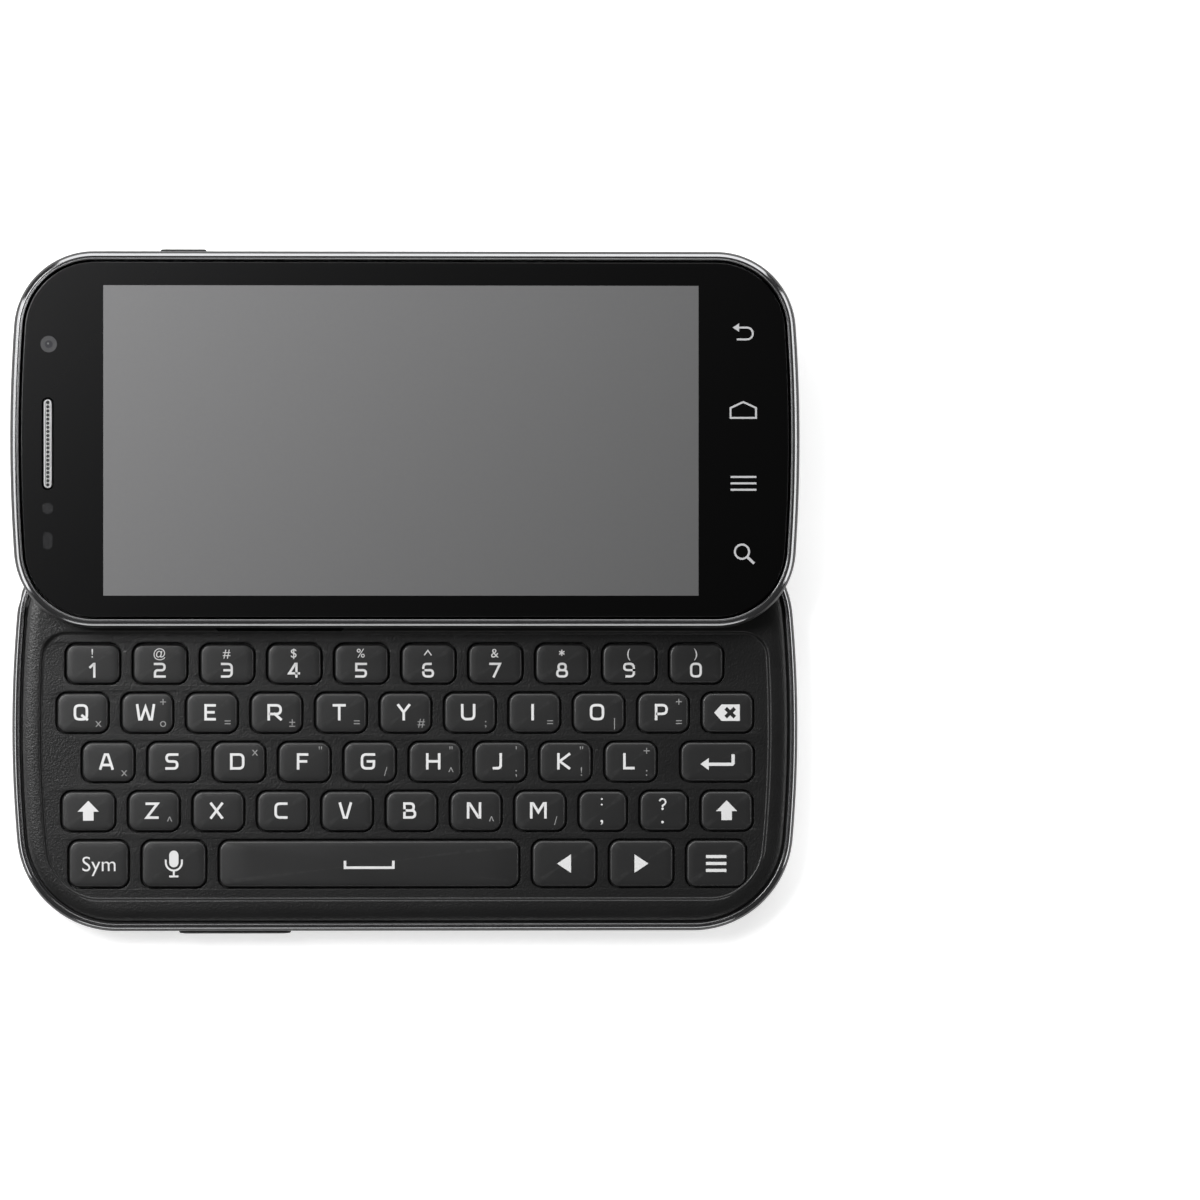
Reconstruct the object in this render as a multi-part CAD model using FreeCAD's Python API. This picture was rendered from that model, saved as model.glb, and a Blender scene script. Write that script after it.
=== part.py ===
"""Side-sliding phone: a display half that slides over a keyboard half.

Frame: +X runs along the phone's long side, +Y is the way the display half slides open,
+Z points out of the screen. The origin is the centre of the keyboard half's back face,
and the phone is modelled slid open. Lengths are in millimetres.
"""
import FreeCAD
import Part
import math
import os

V = FreeCAD.Vector

# Outline of the keyboard half (bowed short sides, round corners) and of the display half
BASE_LENGTH = 127.0
BASE_WIDTH = 65.9
BASE_SIDE_R = 210.5
BASE_CORNER_R = 16.2
DISPLAY_LENGTH = BASE_LENGTH
DISPLAY_WIDTH = 60.6
DISPLAY_SIDE_R = 268.5
DISPLAY_CORNER_R = 12.9
OVERLAP = 16.9                   # display width that stays over the keyboard half, slid open
TRAVEL = DISPLAY_WIDTH - OVERLAP # how far the display half slides

# Heights in the keyboard half
COVER_T = 0.9                    # back cover wall
COVER_EDGE_Z = 2.3               # height of the cover's rounded shoulder
COVER_EDGE_INSET = 1.75
SHOULDER_RUN = 5.6               # how far the shoulder reaches in from the cover's edge
SHOULDER_STEPS = 7
SEAM = 0.1                       # cover to frame
LOWER_BAY_TOP = 4.6              # underside of the frame's web
WEB_T = 0.4
BOARD_T = 0.35                   # keypad board
DOME_T = 0.15
MAT_T = 0.25
KEY_TRAVEL = 0.35
KEY_REST_GAP = 0.4               # key to mat
DECK_T = 1.0
DECK_Z = 6.3                     # underside of the deck
WELL_DEPTH = 0.4
KEY_TOP_BELOW_DECK = 0.15
HALF_GAP = 0.3                   # deck to display half

# Rims
FRAME_LIP = 1.45                 # rim left beside the deck
FRAME_WALL = 2.6
FRAME_TOP_FILLET = 0.45
FRAME_BOTTOM_FILLET = 0.6
DECK_GAP = 0.12                  # deck to rim
WELL_INSET = 4.8                 # sunk panel to the half's short sides
WELL_NEAR_INSET = 5.35           # sunk panel to the half's lower long side
WELL_LOWER_R = 8.6
WELL_SHOWS = 1.0                 # sunk panel's top edge, clear of the slid-open display half
WELL_CORNER_R = 3.8

# Keys: the rows fill the sunk panel between these margins
KEY_TOP_MARGIN = 1.4             # panel's top edge to the number row
KEY_BOTTOM_MARGIN = 6.94         # space-bar row to the half's long side
ROW_GAP = 1.2
KEY_GAP = 1.8
ENTER_EXTRA_GAP = 1.75
KEY_CORNER_R = 1.55
KEY_FILLET = 0.3
KEY_CLEARANCE = 0.4              # keycap to the edge of the deck's opening
BOTTOM_ROW_SHARE = 1.17          # heights and widths against a plain key of the same rows
ENTER_SHARE = 1.39
LEFT_SHIFT_SHARE = 1.04
RIGHT_SHIFT_SHARE = 1.01
POINT_SHARE = 0.94
WIDE_SHARE = 1.07
SPACE_SHARE = 4.89
NUMBER_MARGINS = (8.55, 11.95)   # each row's ends to the half's short sides
TOP_MARGINS = (7.1, 7.1)
HOME_MARGINS = (11.15, 7.0)
LOWER_MARGINS = (7.85, 7.2)
SPACE_MARGINS = (9.0, 8.25)

# Inside the keyboard half
DOME_R = 2.0
KEYPAD_INSET = 6.2
KEYPAD_OVER_WELL = 1.95          # board and mat run on past the sunk panel's top edge
MAIN_BOARD_T = 0.8
MAIN_BOARD_INSET = 3.2
MAIN_BOARD_DROP = 0.3            # web to main board
BATTERY_MARGINS = (28.5, 34.5)   # battery's ends to the half's short sides
BATTERY_SIDE_MARGIN = 10.95
BAY_CLEARANCE = 0.5
BATTERY_AIR = 0.05
BATTERY_R = 1.5
SCREW_R = 0.45
SCREW_HEAD_R = 0.95
SCREW_HEAD_T = 0.6
SCREW_BITE = 1.0                 # thread length in the deck's boss
BOSS_R = 1.1
HOLE_CLEARANCE = 0.1
SIDE_SCREW_INSET = 4.3
SIDE_SCREW_Y = -10.0
TOP_SCREW_INSETS = (17.5, 5.75)
JACK_BORE_R = 1.75
JACK_DEPTH = 12.0
JACK_WALL = 0.45
JACK_COLLAR_R = 2.05             # the rim's hole lets the plug's collar in
JACK_RIM = 0.1                   # rim left under that hole
JACK_INSETS = (4.9, 12.45)       # mouth and axis to the half's sides
USB = (5.5, 7.5, 2.45)           # depth, width, height of the charging socket
USB_WALL = 0.3
USB_TONGUE_T = 0.36
USB_TONGUE_DROP = 0.42           # shell's top to the tongue
USB_MOUTH_SET_BACK = 0.9
SPEAKER = (10.0, 17.0)
SPEAKER_INSETS = (14.0, 17.65)
SPEAKER_SLOT = (1.56, 8.4)
SPEAKER_SLOT_PITCH = 2.6
CAN_T = 1.9
CANS = (8.0, 14.5, 9.0)          # first can's width and height, second can's width
CAN_MARGINS = (2.5, 4.5)         # the cans to the board's left side
CAN_GAP = 0.65
SOCKET_T = 1.4
SIM_SOCKET = (13.0, 14.0)
CARD_SOCKET = (11.5, 12.0)
SOCKET_MARGIN = 1.5
MOTOR = (2.2, 8.0)
MOTOR_INSETS = (14.5, 12.95)
SWITCH_W = 3.0
SWITCH_RISE = 0.2

# Rear camera and flash
CAMERA_INSET = 17.9
RING_SIZE = 13.2
RING_R = 4.4
RING_W = 1.0
RING_RECESS = 0.05
RING_FILLET = 0.3
RING_FLANGE = 0.8
RING_LEDGE = 0.5
RING_FLANGE_T = 0.3
WINDOW_T = 0.6
LENS_R = 2.2
CAMERA_MODULE = 9.0
FLASH_INSET = 18.4
FLASH_Y = -12.85
FLASH_SIZE = 4.9
FLASH_R = 1.3
LED_SIZE = 2.94
FIT = 0.12                       # trim in its opening

# Volume rocker, in the keyboard half's lower long side
ROCKER_INSET = 26.9
ROCKER_LENGTH = 18.1
ROCKER_HEIGHT = 2.6
ROCKER_Z = 4.7
ROCKER_PROUD = 0.45
ROCKER_FILLET = 0.4
ROCKER_FLANGE = 0.8
ROCKER_FLANGE_T = 0.5
ROCKER_CLEARANCE = 0.25
ROCKER_PLAY = 0.35               # flange to the wall in front of it
ROCKER_DEPTH = 1.95              # outer face of the half to the front of the flange
ROCKER_RIB_R = 0.3               # round rib on the flange's back, which the rocker turns on

# Display half
REAR_T = 0.7
REAR_INSET = 0.3
REAR_FILLET = 0.4
REAR_SLOT_R = 1.2
LIP_T = 0.8
LIP_HEIGHT = 1.2
BEZEL_W = 1.75
BEZEL_HEIGHT = 5.4
BEZEL_LEDGE = 1.65
BEZEL_LEDGE_T = 0.7
BEZEL_TOP_FILLET = 0.8
BEZEL_BOTTOM_FILLET = 0.5
GLASS_GAP = 0.2
GLASS_T = 1.05
GLASS_SUNK = 0.35
GLASS_CHAMFER = 0.18
LCD_MARGINS = (12.0, 11.0)       # LCD's ends to the half's short sides
LCD_SIDE_MARGIN = 3.7
LCD_T = 2.0
CELL_MARGIN = 1.3
CELL_T = 0.8
POWER_INSET = 24.1
POWER_LENGTH = 7.4
POWER_HEIGHT = 1.4
POWER_PROUD = 0.4
POWER_FILLET = 0.3
POWER_FLANGE = 0.7
POWER_FLANGE_T = 0.5
POWER_PLAY = 0.15
POWER_TRAVEL = 0.3
POWER_ABOVE_LIP = 0.45
POWER_SWITCH_W = 4.4

# Earpiece, front camera and sensor, along the display's left side
EAR_INSET = 6.2
EAR_SLOT = (1.8, 14.8)
EAR_Y = -0.7
EAR_GAP = 0.19                   # grille to the glass round it
EAR_SUNK = 0.3
FRONT_CAMERA_INSET = 14.8
FRONT_LENS_R = 1.3
FRONT_LENS_T = 0.8
SENSOR = (2.7, 7.5)
SENSOR_INSET = 16.3
HOLDER_W = 3.9
HOLDER_SIDE_MARGIN = 12.3
HOLDER_T = 1.0
FLEX_MARGIN = 0.5                # holder's edge to the flex on it
RECEIVER = (3.5, 16.1)
FRONT_FLEX_T = 0.2

# Slide module
CARRIAGE = (67.4, 7.2, 0.5)
CARRIAGE_AIR = 0.1               # carriage to the display half's rear cover
POST = (2.4, 5.2)
POST_R = 0.8
POST_X = 22.0
POST_CLEARANCE = 0.3
RAIL_AIR = 0.15                  # carriage to rail plate
RAIL_T = 0.4
RAIL_EDGE_T = 0.6
RAIL_SIDE_AIR = 0.4
RAIL_SHELF = 3.8
RAIL_MARGIN = 3.7                # rail plate's ends to the display half's long sides
STAKE_R = 0.8
STAKE_BOSS_R = 1.5
STAKE_MARGIN = 8.6               # stakes to the rail plate's ends
STAKE_HEAD = 0.25
SPRING_PIN_R = 0.7
SPRING_PIVOT_X = 34.5
SPRING_FOOT_X = 12.5
SPRING_T = 0.5
SPRING_W = 0.6
SPRING_AIR = 0.2
SPRING_EYE_GAP = 0.15
SPRING_EYE_W = 0.65
SPRING_LOOP_R = 4.0
SPRING_LOOP_GAP = 28.0           # half of the loop's opening, degrees

# Worked-out heights and places
WEB_TOP = LOWER_BAY_TOP + WEB_T
BOARD_TOP = WEB_TOP + BOARD_T
MAT_Z = BOARD_TOP + DOME_T
KEY_Z = MAT_Z + MAT_T + KEY_REST_GAP
DECK_TOP = DECK_Z + DECK_T
WELL_Z = DECK_TOP - WELL_DEPTH
KEY_TOP = DECK_TOP - KEY_TOP_BELOW_DECK
FRAME_Z = COVER_EDGE_Z + SEAM
MAIN_BOARD_TOP = LOWER_BAY_TOP - MAIN_BOARD_DROP
MAIN_BOARD_Z = MAIN_BOARD_TOP - MAIN_BOARD_T
DISPLAY_Z = DECK_TOP + HALF_GAP
REAR_TOP = DISPLAY_Z + REAR_T
BEZEL_TOP = REAR_TOP + BEZEL_HEIGHT
GLASS_TOP = BEZEL_TOP - GLASS_SUNK
GLASS_Z = GLASS_TOP - GLASS_T
CARRIAGE_Z = REAR_TOP + CARRIAGE_AIR
CARRIAGE_TOP = CARRIAGE_Z + CARRIAGE[2]
RAIL_Z = CARRIAGE_TOP + RAIL_AIR
RAIL_TOP = RAIL_Z + RAIL_T
SPRING_Z = RAIL_TOP + SPRING_AIR
SHUT_Y = (BASE_WIDTH - DISPLAY_WIDTH) / 2      # the shut display is flush along the +Y side
DISPLAY_Y = SHUT_Y + TRAVEL                    # display half's centre, slid open
CARRIAGE_Y = SHUT_Y + TRAVEL / 2
LIP_INSET = BEZEL_W + GLASS_GAP
CAMERA_RING_TOP = COVER_T + RING_FLANGE_T
LEFT, RIGHT = -BASE_LENGTH / 2, BASE_LENGTH / 2
NEAR, FAR = -BASE_WIDTH / 2, BASE_WIDTH / 2
DISPLAY_LEFT, DISPLAY_RIGHT = -DISPLAY_LENGTH / 2, DISPLAY_LENGTH / 2
DISPLAY_NEAR, DISPLAY_FAR = DISPLAY_Y - DISPLAY_WIDTH / 2, DISPLAY_Y + DISPLAY_WIDTH / 2
WELL_TOP_Y = DISPLAY_NEAR - WELL_SHOWS
KEYPAD_TOP_Y = WELL_TOP_Y + KEYPAD_OVER_WELL
BATTERY_X = (LEFT + BATTERY_MARGINS[0], RIGHT - BATTERY_MARGINS[1])
BATTERY_Y = (NEAR + BATTERY_SIDE_MARGIN, FAR - BATTERY_SIDE_MARGIN)
CAMERA_X = LEFT + CAMERA_INSET
FLASH_XY = (LEFT + FLASH_INSET, FLASH_Y)
SPEAKER_XY = (RIGHT - SPEAKER_INSETS[0], FAR - SPEAKER_INSETS[1])
ROCKER_X = (LEFT + ROCKER_INSET, LEFT + ROCKER_INSET + ROCKER_LENGTH)
POWER_X = (DISPLAY_LEFT + POWER_INSET, DISPLAY_LEFT + POWER_INSET + POWER_LENGTH)
EAR_X = DISPLAY_LEFT + EAR_INSET
LCD_X = (DISPLAY_LEFT + LCD_MARGINS[0], DISPLAY_RIGHT - LCD_MARGINS[1])
LCD_Y = (DISPLAY_NEAR + LCD_SIDE_MARGIN, DISPLAY_FAR - LCD_SIDE_MARGIN)
RAIL_Y = (DISPLAY_NEAR + RAIL_MARGIN, DISPLAY_FAR - RAIL_MARGIN)
JACK_MOUTH_X = LEFT + JACK_INSETS[0]
JACK_END_X = JACK_MOUTH_X + JACK_DEPTH
JACK_Y = FAR - JACK_INSETS[1]
USB_MOUTH_X = RIGHT - USB_MOUTH_SET_BACK
JACK_Z = FRAME_Z + JACK_RIM + JACK_COLLAR_R
JACK_SIZE = 2 * (JACK_BORE_R + JACK_WALL)

BASE = (BASE_LENGTH, BASE_WIDTH, BASE_SIDE_R, BASE_CORNER_R, 0.0)
DISPLAY = (DISPLAY_LENGTH, DISPLAY_WIDTH, DISPLAY_SIDE_R, DISPLAY_CORNER_R, DISPLAY_Y)
WELL = (BASE_LENGTH, BASE_WIDTH - 2 * (WELL_NEAR_INSET - WELL_INSET), BASE_SIDE_R,
        WELL_LOWER_R + WELL_INSET, 0.0)

ROWS = (
    (NUMBER_MARGINS, [("key_%d" % (n % 10), 1) for n in range(1, 11)]),
    (TOP_MARGINS, [("key_" + c, 1) for c in "qwertyuiop"] + [("key_backspace", 1)]),
    (HOME_MARGINS, [("key_" + c, 1) for c in "asdfghjkl"] + [("key_enter", ENTER_SHARE)]),
    (LOWER_MARGINS, [("key_shift_left", LEFT_SHIFT_SHARE)] + [("key_" + c, 1) for c in "zxcvbnm"]
     + [("key_semicolon", POINT_SHARE), ("key_question", POINT_SHARE),
        ("key_shift_right", RIGHT_SHIFT_SHARE)]),
    (SPACE_MARGINS, [("key_sym", 1), ("key_mic", WIDE_SHARE), ("key_space", SPACE_SHARE),
                     ("key_left", WIDE_SHARE), ("key_right", WIDE_SHARE), ("key_menu", 1)]),
)


def key_places():
    """Each key's name, centre, width and height, row by row."""
    places = []
    top = WELL_TOP_Y - KEY_TOP_MARGIN
    room = top - NEAR - KEY_BOTTOM_MARGIN - ROW_GAP * (len(ROWS) - 1)
    plain_height = room / (len(ROWS) - 1 + BOTTOM_ROW_SHARE)
    for number, (margins, keys) in enumerate(ROWS):
        height = plain_height * (BOTTOM_ROW_SHARE if number == len(ROWS) - 1 else 1)
        extra = sum(ENTER_EXTRA_GAP for name, share in keys if name == "key_enter")
        span = BASE_LENGTH - sum(margins) - KEY_GAP * (len(keys) - 1) - extra
        plain_width = span / sum(share for name, share in keys)
        left = LEFT + margins[0]
        for name, share in keys:
            width = plain_width * share
            if name == "key_enter":
                left += ENTER_EXTRA_GAP
            places.append((name, left + width / 2, top - height / 2, width, height))
            left += width + KEY_GAP
        top -= height + ROW_GAP
    return places


def outline(half, inset, z):
    """Closed wire of a half's outline, moved in by inset, at height z."""
    length, width, side_r, corner_r, centre_y = half
    a, b = length / 2 - inset, width / 2 - inset
    side, corner = side_r - inset, corner_r - inset
    yc = b - corner
    reach = math.sqrt((side - corner) ** 2 - yc ** 2)
    xc = a - side + reach
    lean = math.atan2(yc, reach)               # where the side arc meets the corner
    middle = (lean + math.pi / 2) / 2

    def corner_point(angle, sx, sy):
        return V(sx * (xc + corner * math.cos(angle)),
                 centre_y + sy * (yc + corner * math.sin(angle)), z)

    def corner_arc(sx, sy, outward):
        angles = (math.pi / 2, middle, lean) if outward else (lean, middle, math.pi / 2)
        return Part.Arc(*[corner_point(angle, sx, sy) for angle in angles]).toShape()

    def side_arc(sx, sy):
        return Part.Arc(corner_point(lean, sx, sy), V(sx * a, centre_y, z),
                        corner_point(lean, sx, -sy)).toShape()

    def long_side(sx, sy):
        return Part.LineSegment(corner_point(math.pi / 2, sx, sy),
                                corner_point(math.pi / 2, -sx, sy)).toShape()

    edges = [corner_arc(1, 1, True), side_arc(1, 1), corner_arc(1, -1, False), long_side(1, -1),
             corner_arc(-1, -1, True), side_arc(-1, -1), corner_arc(-1, 1, False),
             long_side(-1, 1)]
    return Part.Wire(edges)


def slab(half, inset, z0, z1):
    """Solid of a half's outline between two heights."""
    return Part.Face(outline(half, inset, z0)).extrude(V(0, 0, z1 - z0))


def box(x, y, z):
    """Box between the pairs of limits x, y and z."""
    return Part.makeBox(x[1] - x[0], y[1] - y[0], z[1] - z[0], V(x[0], y[0], z[0]))


def centred_box(cx, cy, width, height, z):
    return box((cx - width / 2, cx + width / 2), (cy - height / 2, cy + height / 2), z)


def rounded_box(cx, cy, width, height, radius, z):
    """Box with round upright corners."""
    solid = centred_box(cx, cy, width, height, z)
    radius = min(radius, 0.49 * min(width, height))
    upright = [e for e in solid.Edges if e.BoundBox.ZLength > (z[1] - z[0]) / 2]
    return solid.makeFillet(radius, upright)


def cylinder(x, y, radius, z):
    return Part.makeCylinder(radius, z[1] - z[0], V(x, y, z[0]))


def edges_at(solid, z):
    """The edges of a solid that lie in the plane at height z."""
    return [e for e in solid.Edges if e.BoundBox.ZLength < 1e-6 and abs(e.BoundBox.ZMin - z) < 1e-6]


def mirrored(places):
    """Each place and its mirror image in X."""
    return [(s * x, y) for x, y in places for s in (1, -1)]


def save(name, *solids):
    shape = solids[0] if len(solids) == 1 else Part.makeCompound(list(solids))
    shape.exportStep("parts/%s.step" % name)


SCREW_PLACES = mirrored([(RIGHT - SIDE_SCREW_INSET, SIDE_SCREW_Y),
                         (RIGHT - TOP_SCREW_INSETS[0], FAR - TOP_SCREW_INSETS[1])])
POST_PLACES = mirrored([(POST_X, CARRIAGE_Y)])
STAKE_PLACES = mirrored([(CARRIAGE[0] / 2 + RAIL_SIDE_AIR + RAIL_EDGE_T + RAIL_SHELF / 2, y)
                         for y in (RAIL_Y[0] + STAKE_MARGIN, RAIL_Y[1] - STAKE_MARGIN)])


# Keyboard half: shells ------------------------------------------------------------------

def usb_opening():
    depth, width, height = USB
    low = MAIN_BOARD_TOP - height - FIT
    return box((USB_MOUTH_X - depth - BAY_CLEARANCE, RIGHT + 1),
               (-width / 2 - ROCKER_CLEARANCE, width / 2 + ROCKER_CLEARANCE),
               (low, MAIN_BOARD_TOP + ROCKER_CLEARANCE))


def jack_bore(radius):
    """Cylinder on the headphone socket's axis, from its blind end out past the rim."""
    return Part.makeCylinder(radius, JACK_END_X - LEFT + 1, V(JACK_END_X, JACK_Y, JACK_Z),
                             V(-1, 0, 0))


def jack_body(clearance=0.0):
    size = JACK_SIZE + 2 * clearance
    return box((JACK_MOUTH_X - clearance, JACK_END_X + JACK_WALL + clearance),
               (JACK_Y - size / 2, JACK_Y + size / 2),
               (JACK_Z - JACK_SIZE / 2, JACK_Z + JACK_SIZE / 2 + clearance))


def rocker_shape(clearance, travel_room):
    """Volume rocker: a bar through the rim with a flange behind it."""
    front = NEAR - ROCKER_PROUD
    flange_front = NEAR + ROCKER_DEPTH
    x0, x1 = ROCKER_X[0] - clearance, ROCKER_X[1] + clearance
    z = (ROCKER_Z - ROCKER_HEIGHT / 2 - clearance, ROCKER_Z + ROCKER_HEIGHT / 2 + clearance)
    bar = box((x0, x1), (front - travel_room, flange_front + ROCKER_FLANGE_T), z)
    flange = box((x0 - ROCKER_FLANGE, x1 + ROCKER_FLANGE),
                 (flange_front - travel_room, flange_front + ROCKER_FLANGE_T + travel_room), z)
    return bar.fuse(flange).removeSplitter()


def base_frame():
    frame = slab(BASE, 0, FRAME_Z, DECK_TOP)
    frame = frame.makeFillet(FRAME_TOP_FILLET, edges_at(frame, DECK_TOP))
    frame = frame.makeFillet(FRAME_BOTTOM_FILLET, edges_at(frame, FRAME_Z))
    cuts = [slab(BASE, FRAME_LIP, DECK_Z, DECK_TOP), slab(BASE, FRAME_WALL, WEB_TOP, DECK_Z),
            slab(BASE, FRAME_WALL, FRAME_Z, LOWER_BAY_TOP)]
    cuts += [cylinder(x, y, SCREW_R + HOLE_CLEARANCE, (LOWER_BAY_TOP, WEB_TOP))
             for x, y in SCREW_PLACES]
    cuts += [usb_opening(), jack_bore(JACK_COLLAR_R), jack_body(FIT),
             rocker_shape(ROCKER_CLEARANCE, ROCKER_PLAY)]
    frame = frame.cut(Part.makeCompound(cuts))
    pads = [cylinder(x, y, BOSS_R, (MAIN_BOARD_TOP, LOWER_BAY_TOP)).cut(
        cylinder(x, y, SCREW_R + HOLE_CLEARANCE, (MAIN_BOARD_TOP, LOWER_BAY_TOP)))
        for x, y in SCREW_PLACES]
    return frame.fuse(pads).removeSplitter()


def well():
    """The sunk panel: the half's outline, moved in and cut off straight at its top."""
    shape = slab(WELL, WELL_INSET, WELL_Z, DECK_TOP)
    shape = shape.common(box((-BASE_LENGTH, BASE_LENGTH), (-BASE_WIDTH, WELL_TOP_Y),
                             (WELL_Z, DECK_TOP)))
    top_corners = [e for e in shape.Edges
                   if e.BoundBox.ZLength > WELL_DEPTH / 2 and e.BoundBox.YMin > WELL_TOP_Y - 0.01]
    return shape.makeFillet(WELL_CORNER_R, top_corners)


def keyboard_deck():
    deck = slab(BASE, FRAME_LIP + DECK_GAP, DECK_Z, DECK_TOP)
    grow = KEY_CLEARANCE / 2
    cuts = [rounded_box(x, y, w + 2 * grow, h + 2 * grow, KEY_CORNER_R + grow,
                        (DECK_Z, DECK_TOP)) for name, x, y, w, h in key_places()]
    cuts += [well(), jack_body(FIT), jack_bore(JACK_COLLAR_R)]
    cuts += [cylinder(x, y, SCREW_R + HOLE_CLEARANCE, (DECK_Z, DECK_TOP))
             for x, y in POST_PLACES]
    deck = deck.cut(Part.makeCompound(cuts))
    bosses = [cylinder(x, y, BOSS_R, (WEB_TOP, DECK_Z)) for x, y in SCREW_PLACES]
    holes = [cylinder(x, y, SCREW_R, (WEB_TOP, WEB_TOP + SCREW_BITE)) for x, y in SCREW_PLACES]
    return deck.fuse(bosses).cut(Part.makeCompound(holes)).removeSplitter()


def cover_dome(edge_inset, edge_z, base_z):
    """Solid under a rounded shoulder: steep at the cover's edge and flat in its middle."""
    run = SHOULDER_RUN - (edge_inset - COVER_EDGE_INSET)
    rise = edge_z - base_z
    wires = []
    for step in range(SHOULDER_STEPS + 1):
        angle = math.pi / 2 * step / SHOULDER_STEPS
        wires.append(outline(BASE, edge_inset + run * (1 - math.cos(angle)),
                             edge_z - rise * math.sin(angle)))
    return Part.makeLoft(wires, True, True)


def back_cover():
    outer = cover_dome(COVER_EDGE_INSET, COVER_EDGE_Z, 0.0)
    inner = cover_dome(COVER_EDGE_INSET + COVER_T, COVER_EDGE_Z, COVER_T)
    ring_hole = RING_SIZE + 2 * FIT
    flash_hole = FLASH_SIZE + 2 * FIT
    through = (-0.5, COVER_T + 0.5)
    cuts = [inner, usb_opening(),
            rounded_box(CAMERA_X, 0, ring_hole, ring_hole, RING_R + FIT, through),
            rounded_box(FLASH_XY[0], FLASH_XY[1], flash_hole, flash_hole, FLASH_R + FIT, through)]
    for side in (-0.5, 0.5):
        cuts.append(rounded_box(SPEAKER_XY[0] + side * SPEAKER_SLOT_PITCH, SPEAKER_XY[1],
                                SPEAKER_SLOT[0], SPEAKER_SLOT[1], SPEAKER_SLOT[0] / 2, through))
    cover = outer
    for cut in cuts:
        cover = cover.cut(cut)
    return cover


# Keyboard half: keys ----------------------------------------------------------------------

def keycap(x, y, width, height):
    cap = rounded_box(x, y, width - KEY_CLEARANCE, height - KEY_CLEARANCE, KEY_CORNER_R,
                      (KEY_Z, KEY_TOP))
    return cap.makeFillet(KEY_FILLET, edges_at(cap, KEY_TOP))


def keypad_sheet(z0, z1):
    sheet = slab(BASE, KEYPAD_INSET, z0, z1)
    return sheet.common(box((-BASE_LENGTH, BASE_LENGTH), (-BASE_WIDTH, KEYPAD_TOP_Y), (z0, z1)))


def keypad_board():
    domes = [cylinder(x, y, DOME_R, (BOARD_TOP, MAT_Z)) for name, x, y, w, h in key_places()]
    return [keypad_sheet(WEB_TOP, BOARD_TOP)] + domes


def save_keys():
    numbers = []
    for name, x, y, width, height in key_places():
        cap = keycap(x, y, width, height)
        if name[-1].isdigit():
            numbers.append(cap)
        else:
            save(name, cap)
    save("number_keys", *numbers)


# Keyboard half: inside ----------------------------------------------------------------------

def charging_socket():
    depth, width, height = USB
    back = USB_MOUTH_X - depth
    z = (MAIN_BOARD_TOP - height, MAIN_BOARD_TOP)
    shell = box((back, USB_MOUTH_X), (-width / 2, width / 2), z)
    hollow = box((back + USB_WALL, USB_MOUTH_X), (USB_WALL - width / 2, width / 2 - USB_WALL),
                 (z[0] + USB_WALL, z[1] - USB_WALL))
    tongue = box((back, USB_MOUTH_X - USB_WALL), (-width / 4, width / 4),
                 (z[1] - USB_TONGUE_DROP - USB_TONGUE_T, z[1] - USB_TONGUE_DROP))
    return shell.cut(hollow).fuse(tongue).removeSplitter()


def circuit_board():
    """C-shaped board round the battery."""
    board = slab(BASE, MAIN_BOARD_INSET, MAIN_BOARD_Z, MAIN_BOARD_TOP)
    z = (MAIN_BOARD_Z, MAIN_BOARD_TOP)
    module = CAMERA_MODULE + 2 * FIT
    depth, usb_width, height = USB
    cuts = [box((BATTERY_X[0] - BAY_CLEARANCE, BATTERY_X[1] + BAY_CLEARANCE),
                (2 * NEAR, BATTERY_Y[1] + BAY_CLEARANCE), z),
            centred_box(CAMERA_X, 0, module, module, z),
            box((USB_MOUTH_X - depth - FIT, 2 * RIGHT), (-usb_width / 2 - FIT, usb_width / 2 + FIT), z),
            box((2 * LEFT, JACK_END_X + JACK_WALL + FIT),
                (JACK_Y - JACK_SIZE / 2 - FIT, JACK_Y + JACK_SIZE / 2 + FIT), z)]
    cuts += [cylinder(x, y, SCREW_R + HOLE_CLEARANCE, z) for x, y in SCREW_PLACES]
    return board.cut(Part.makeCompound(cuts))


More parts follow.
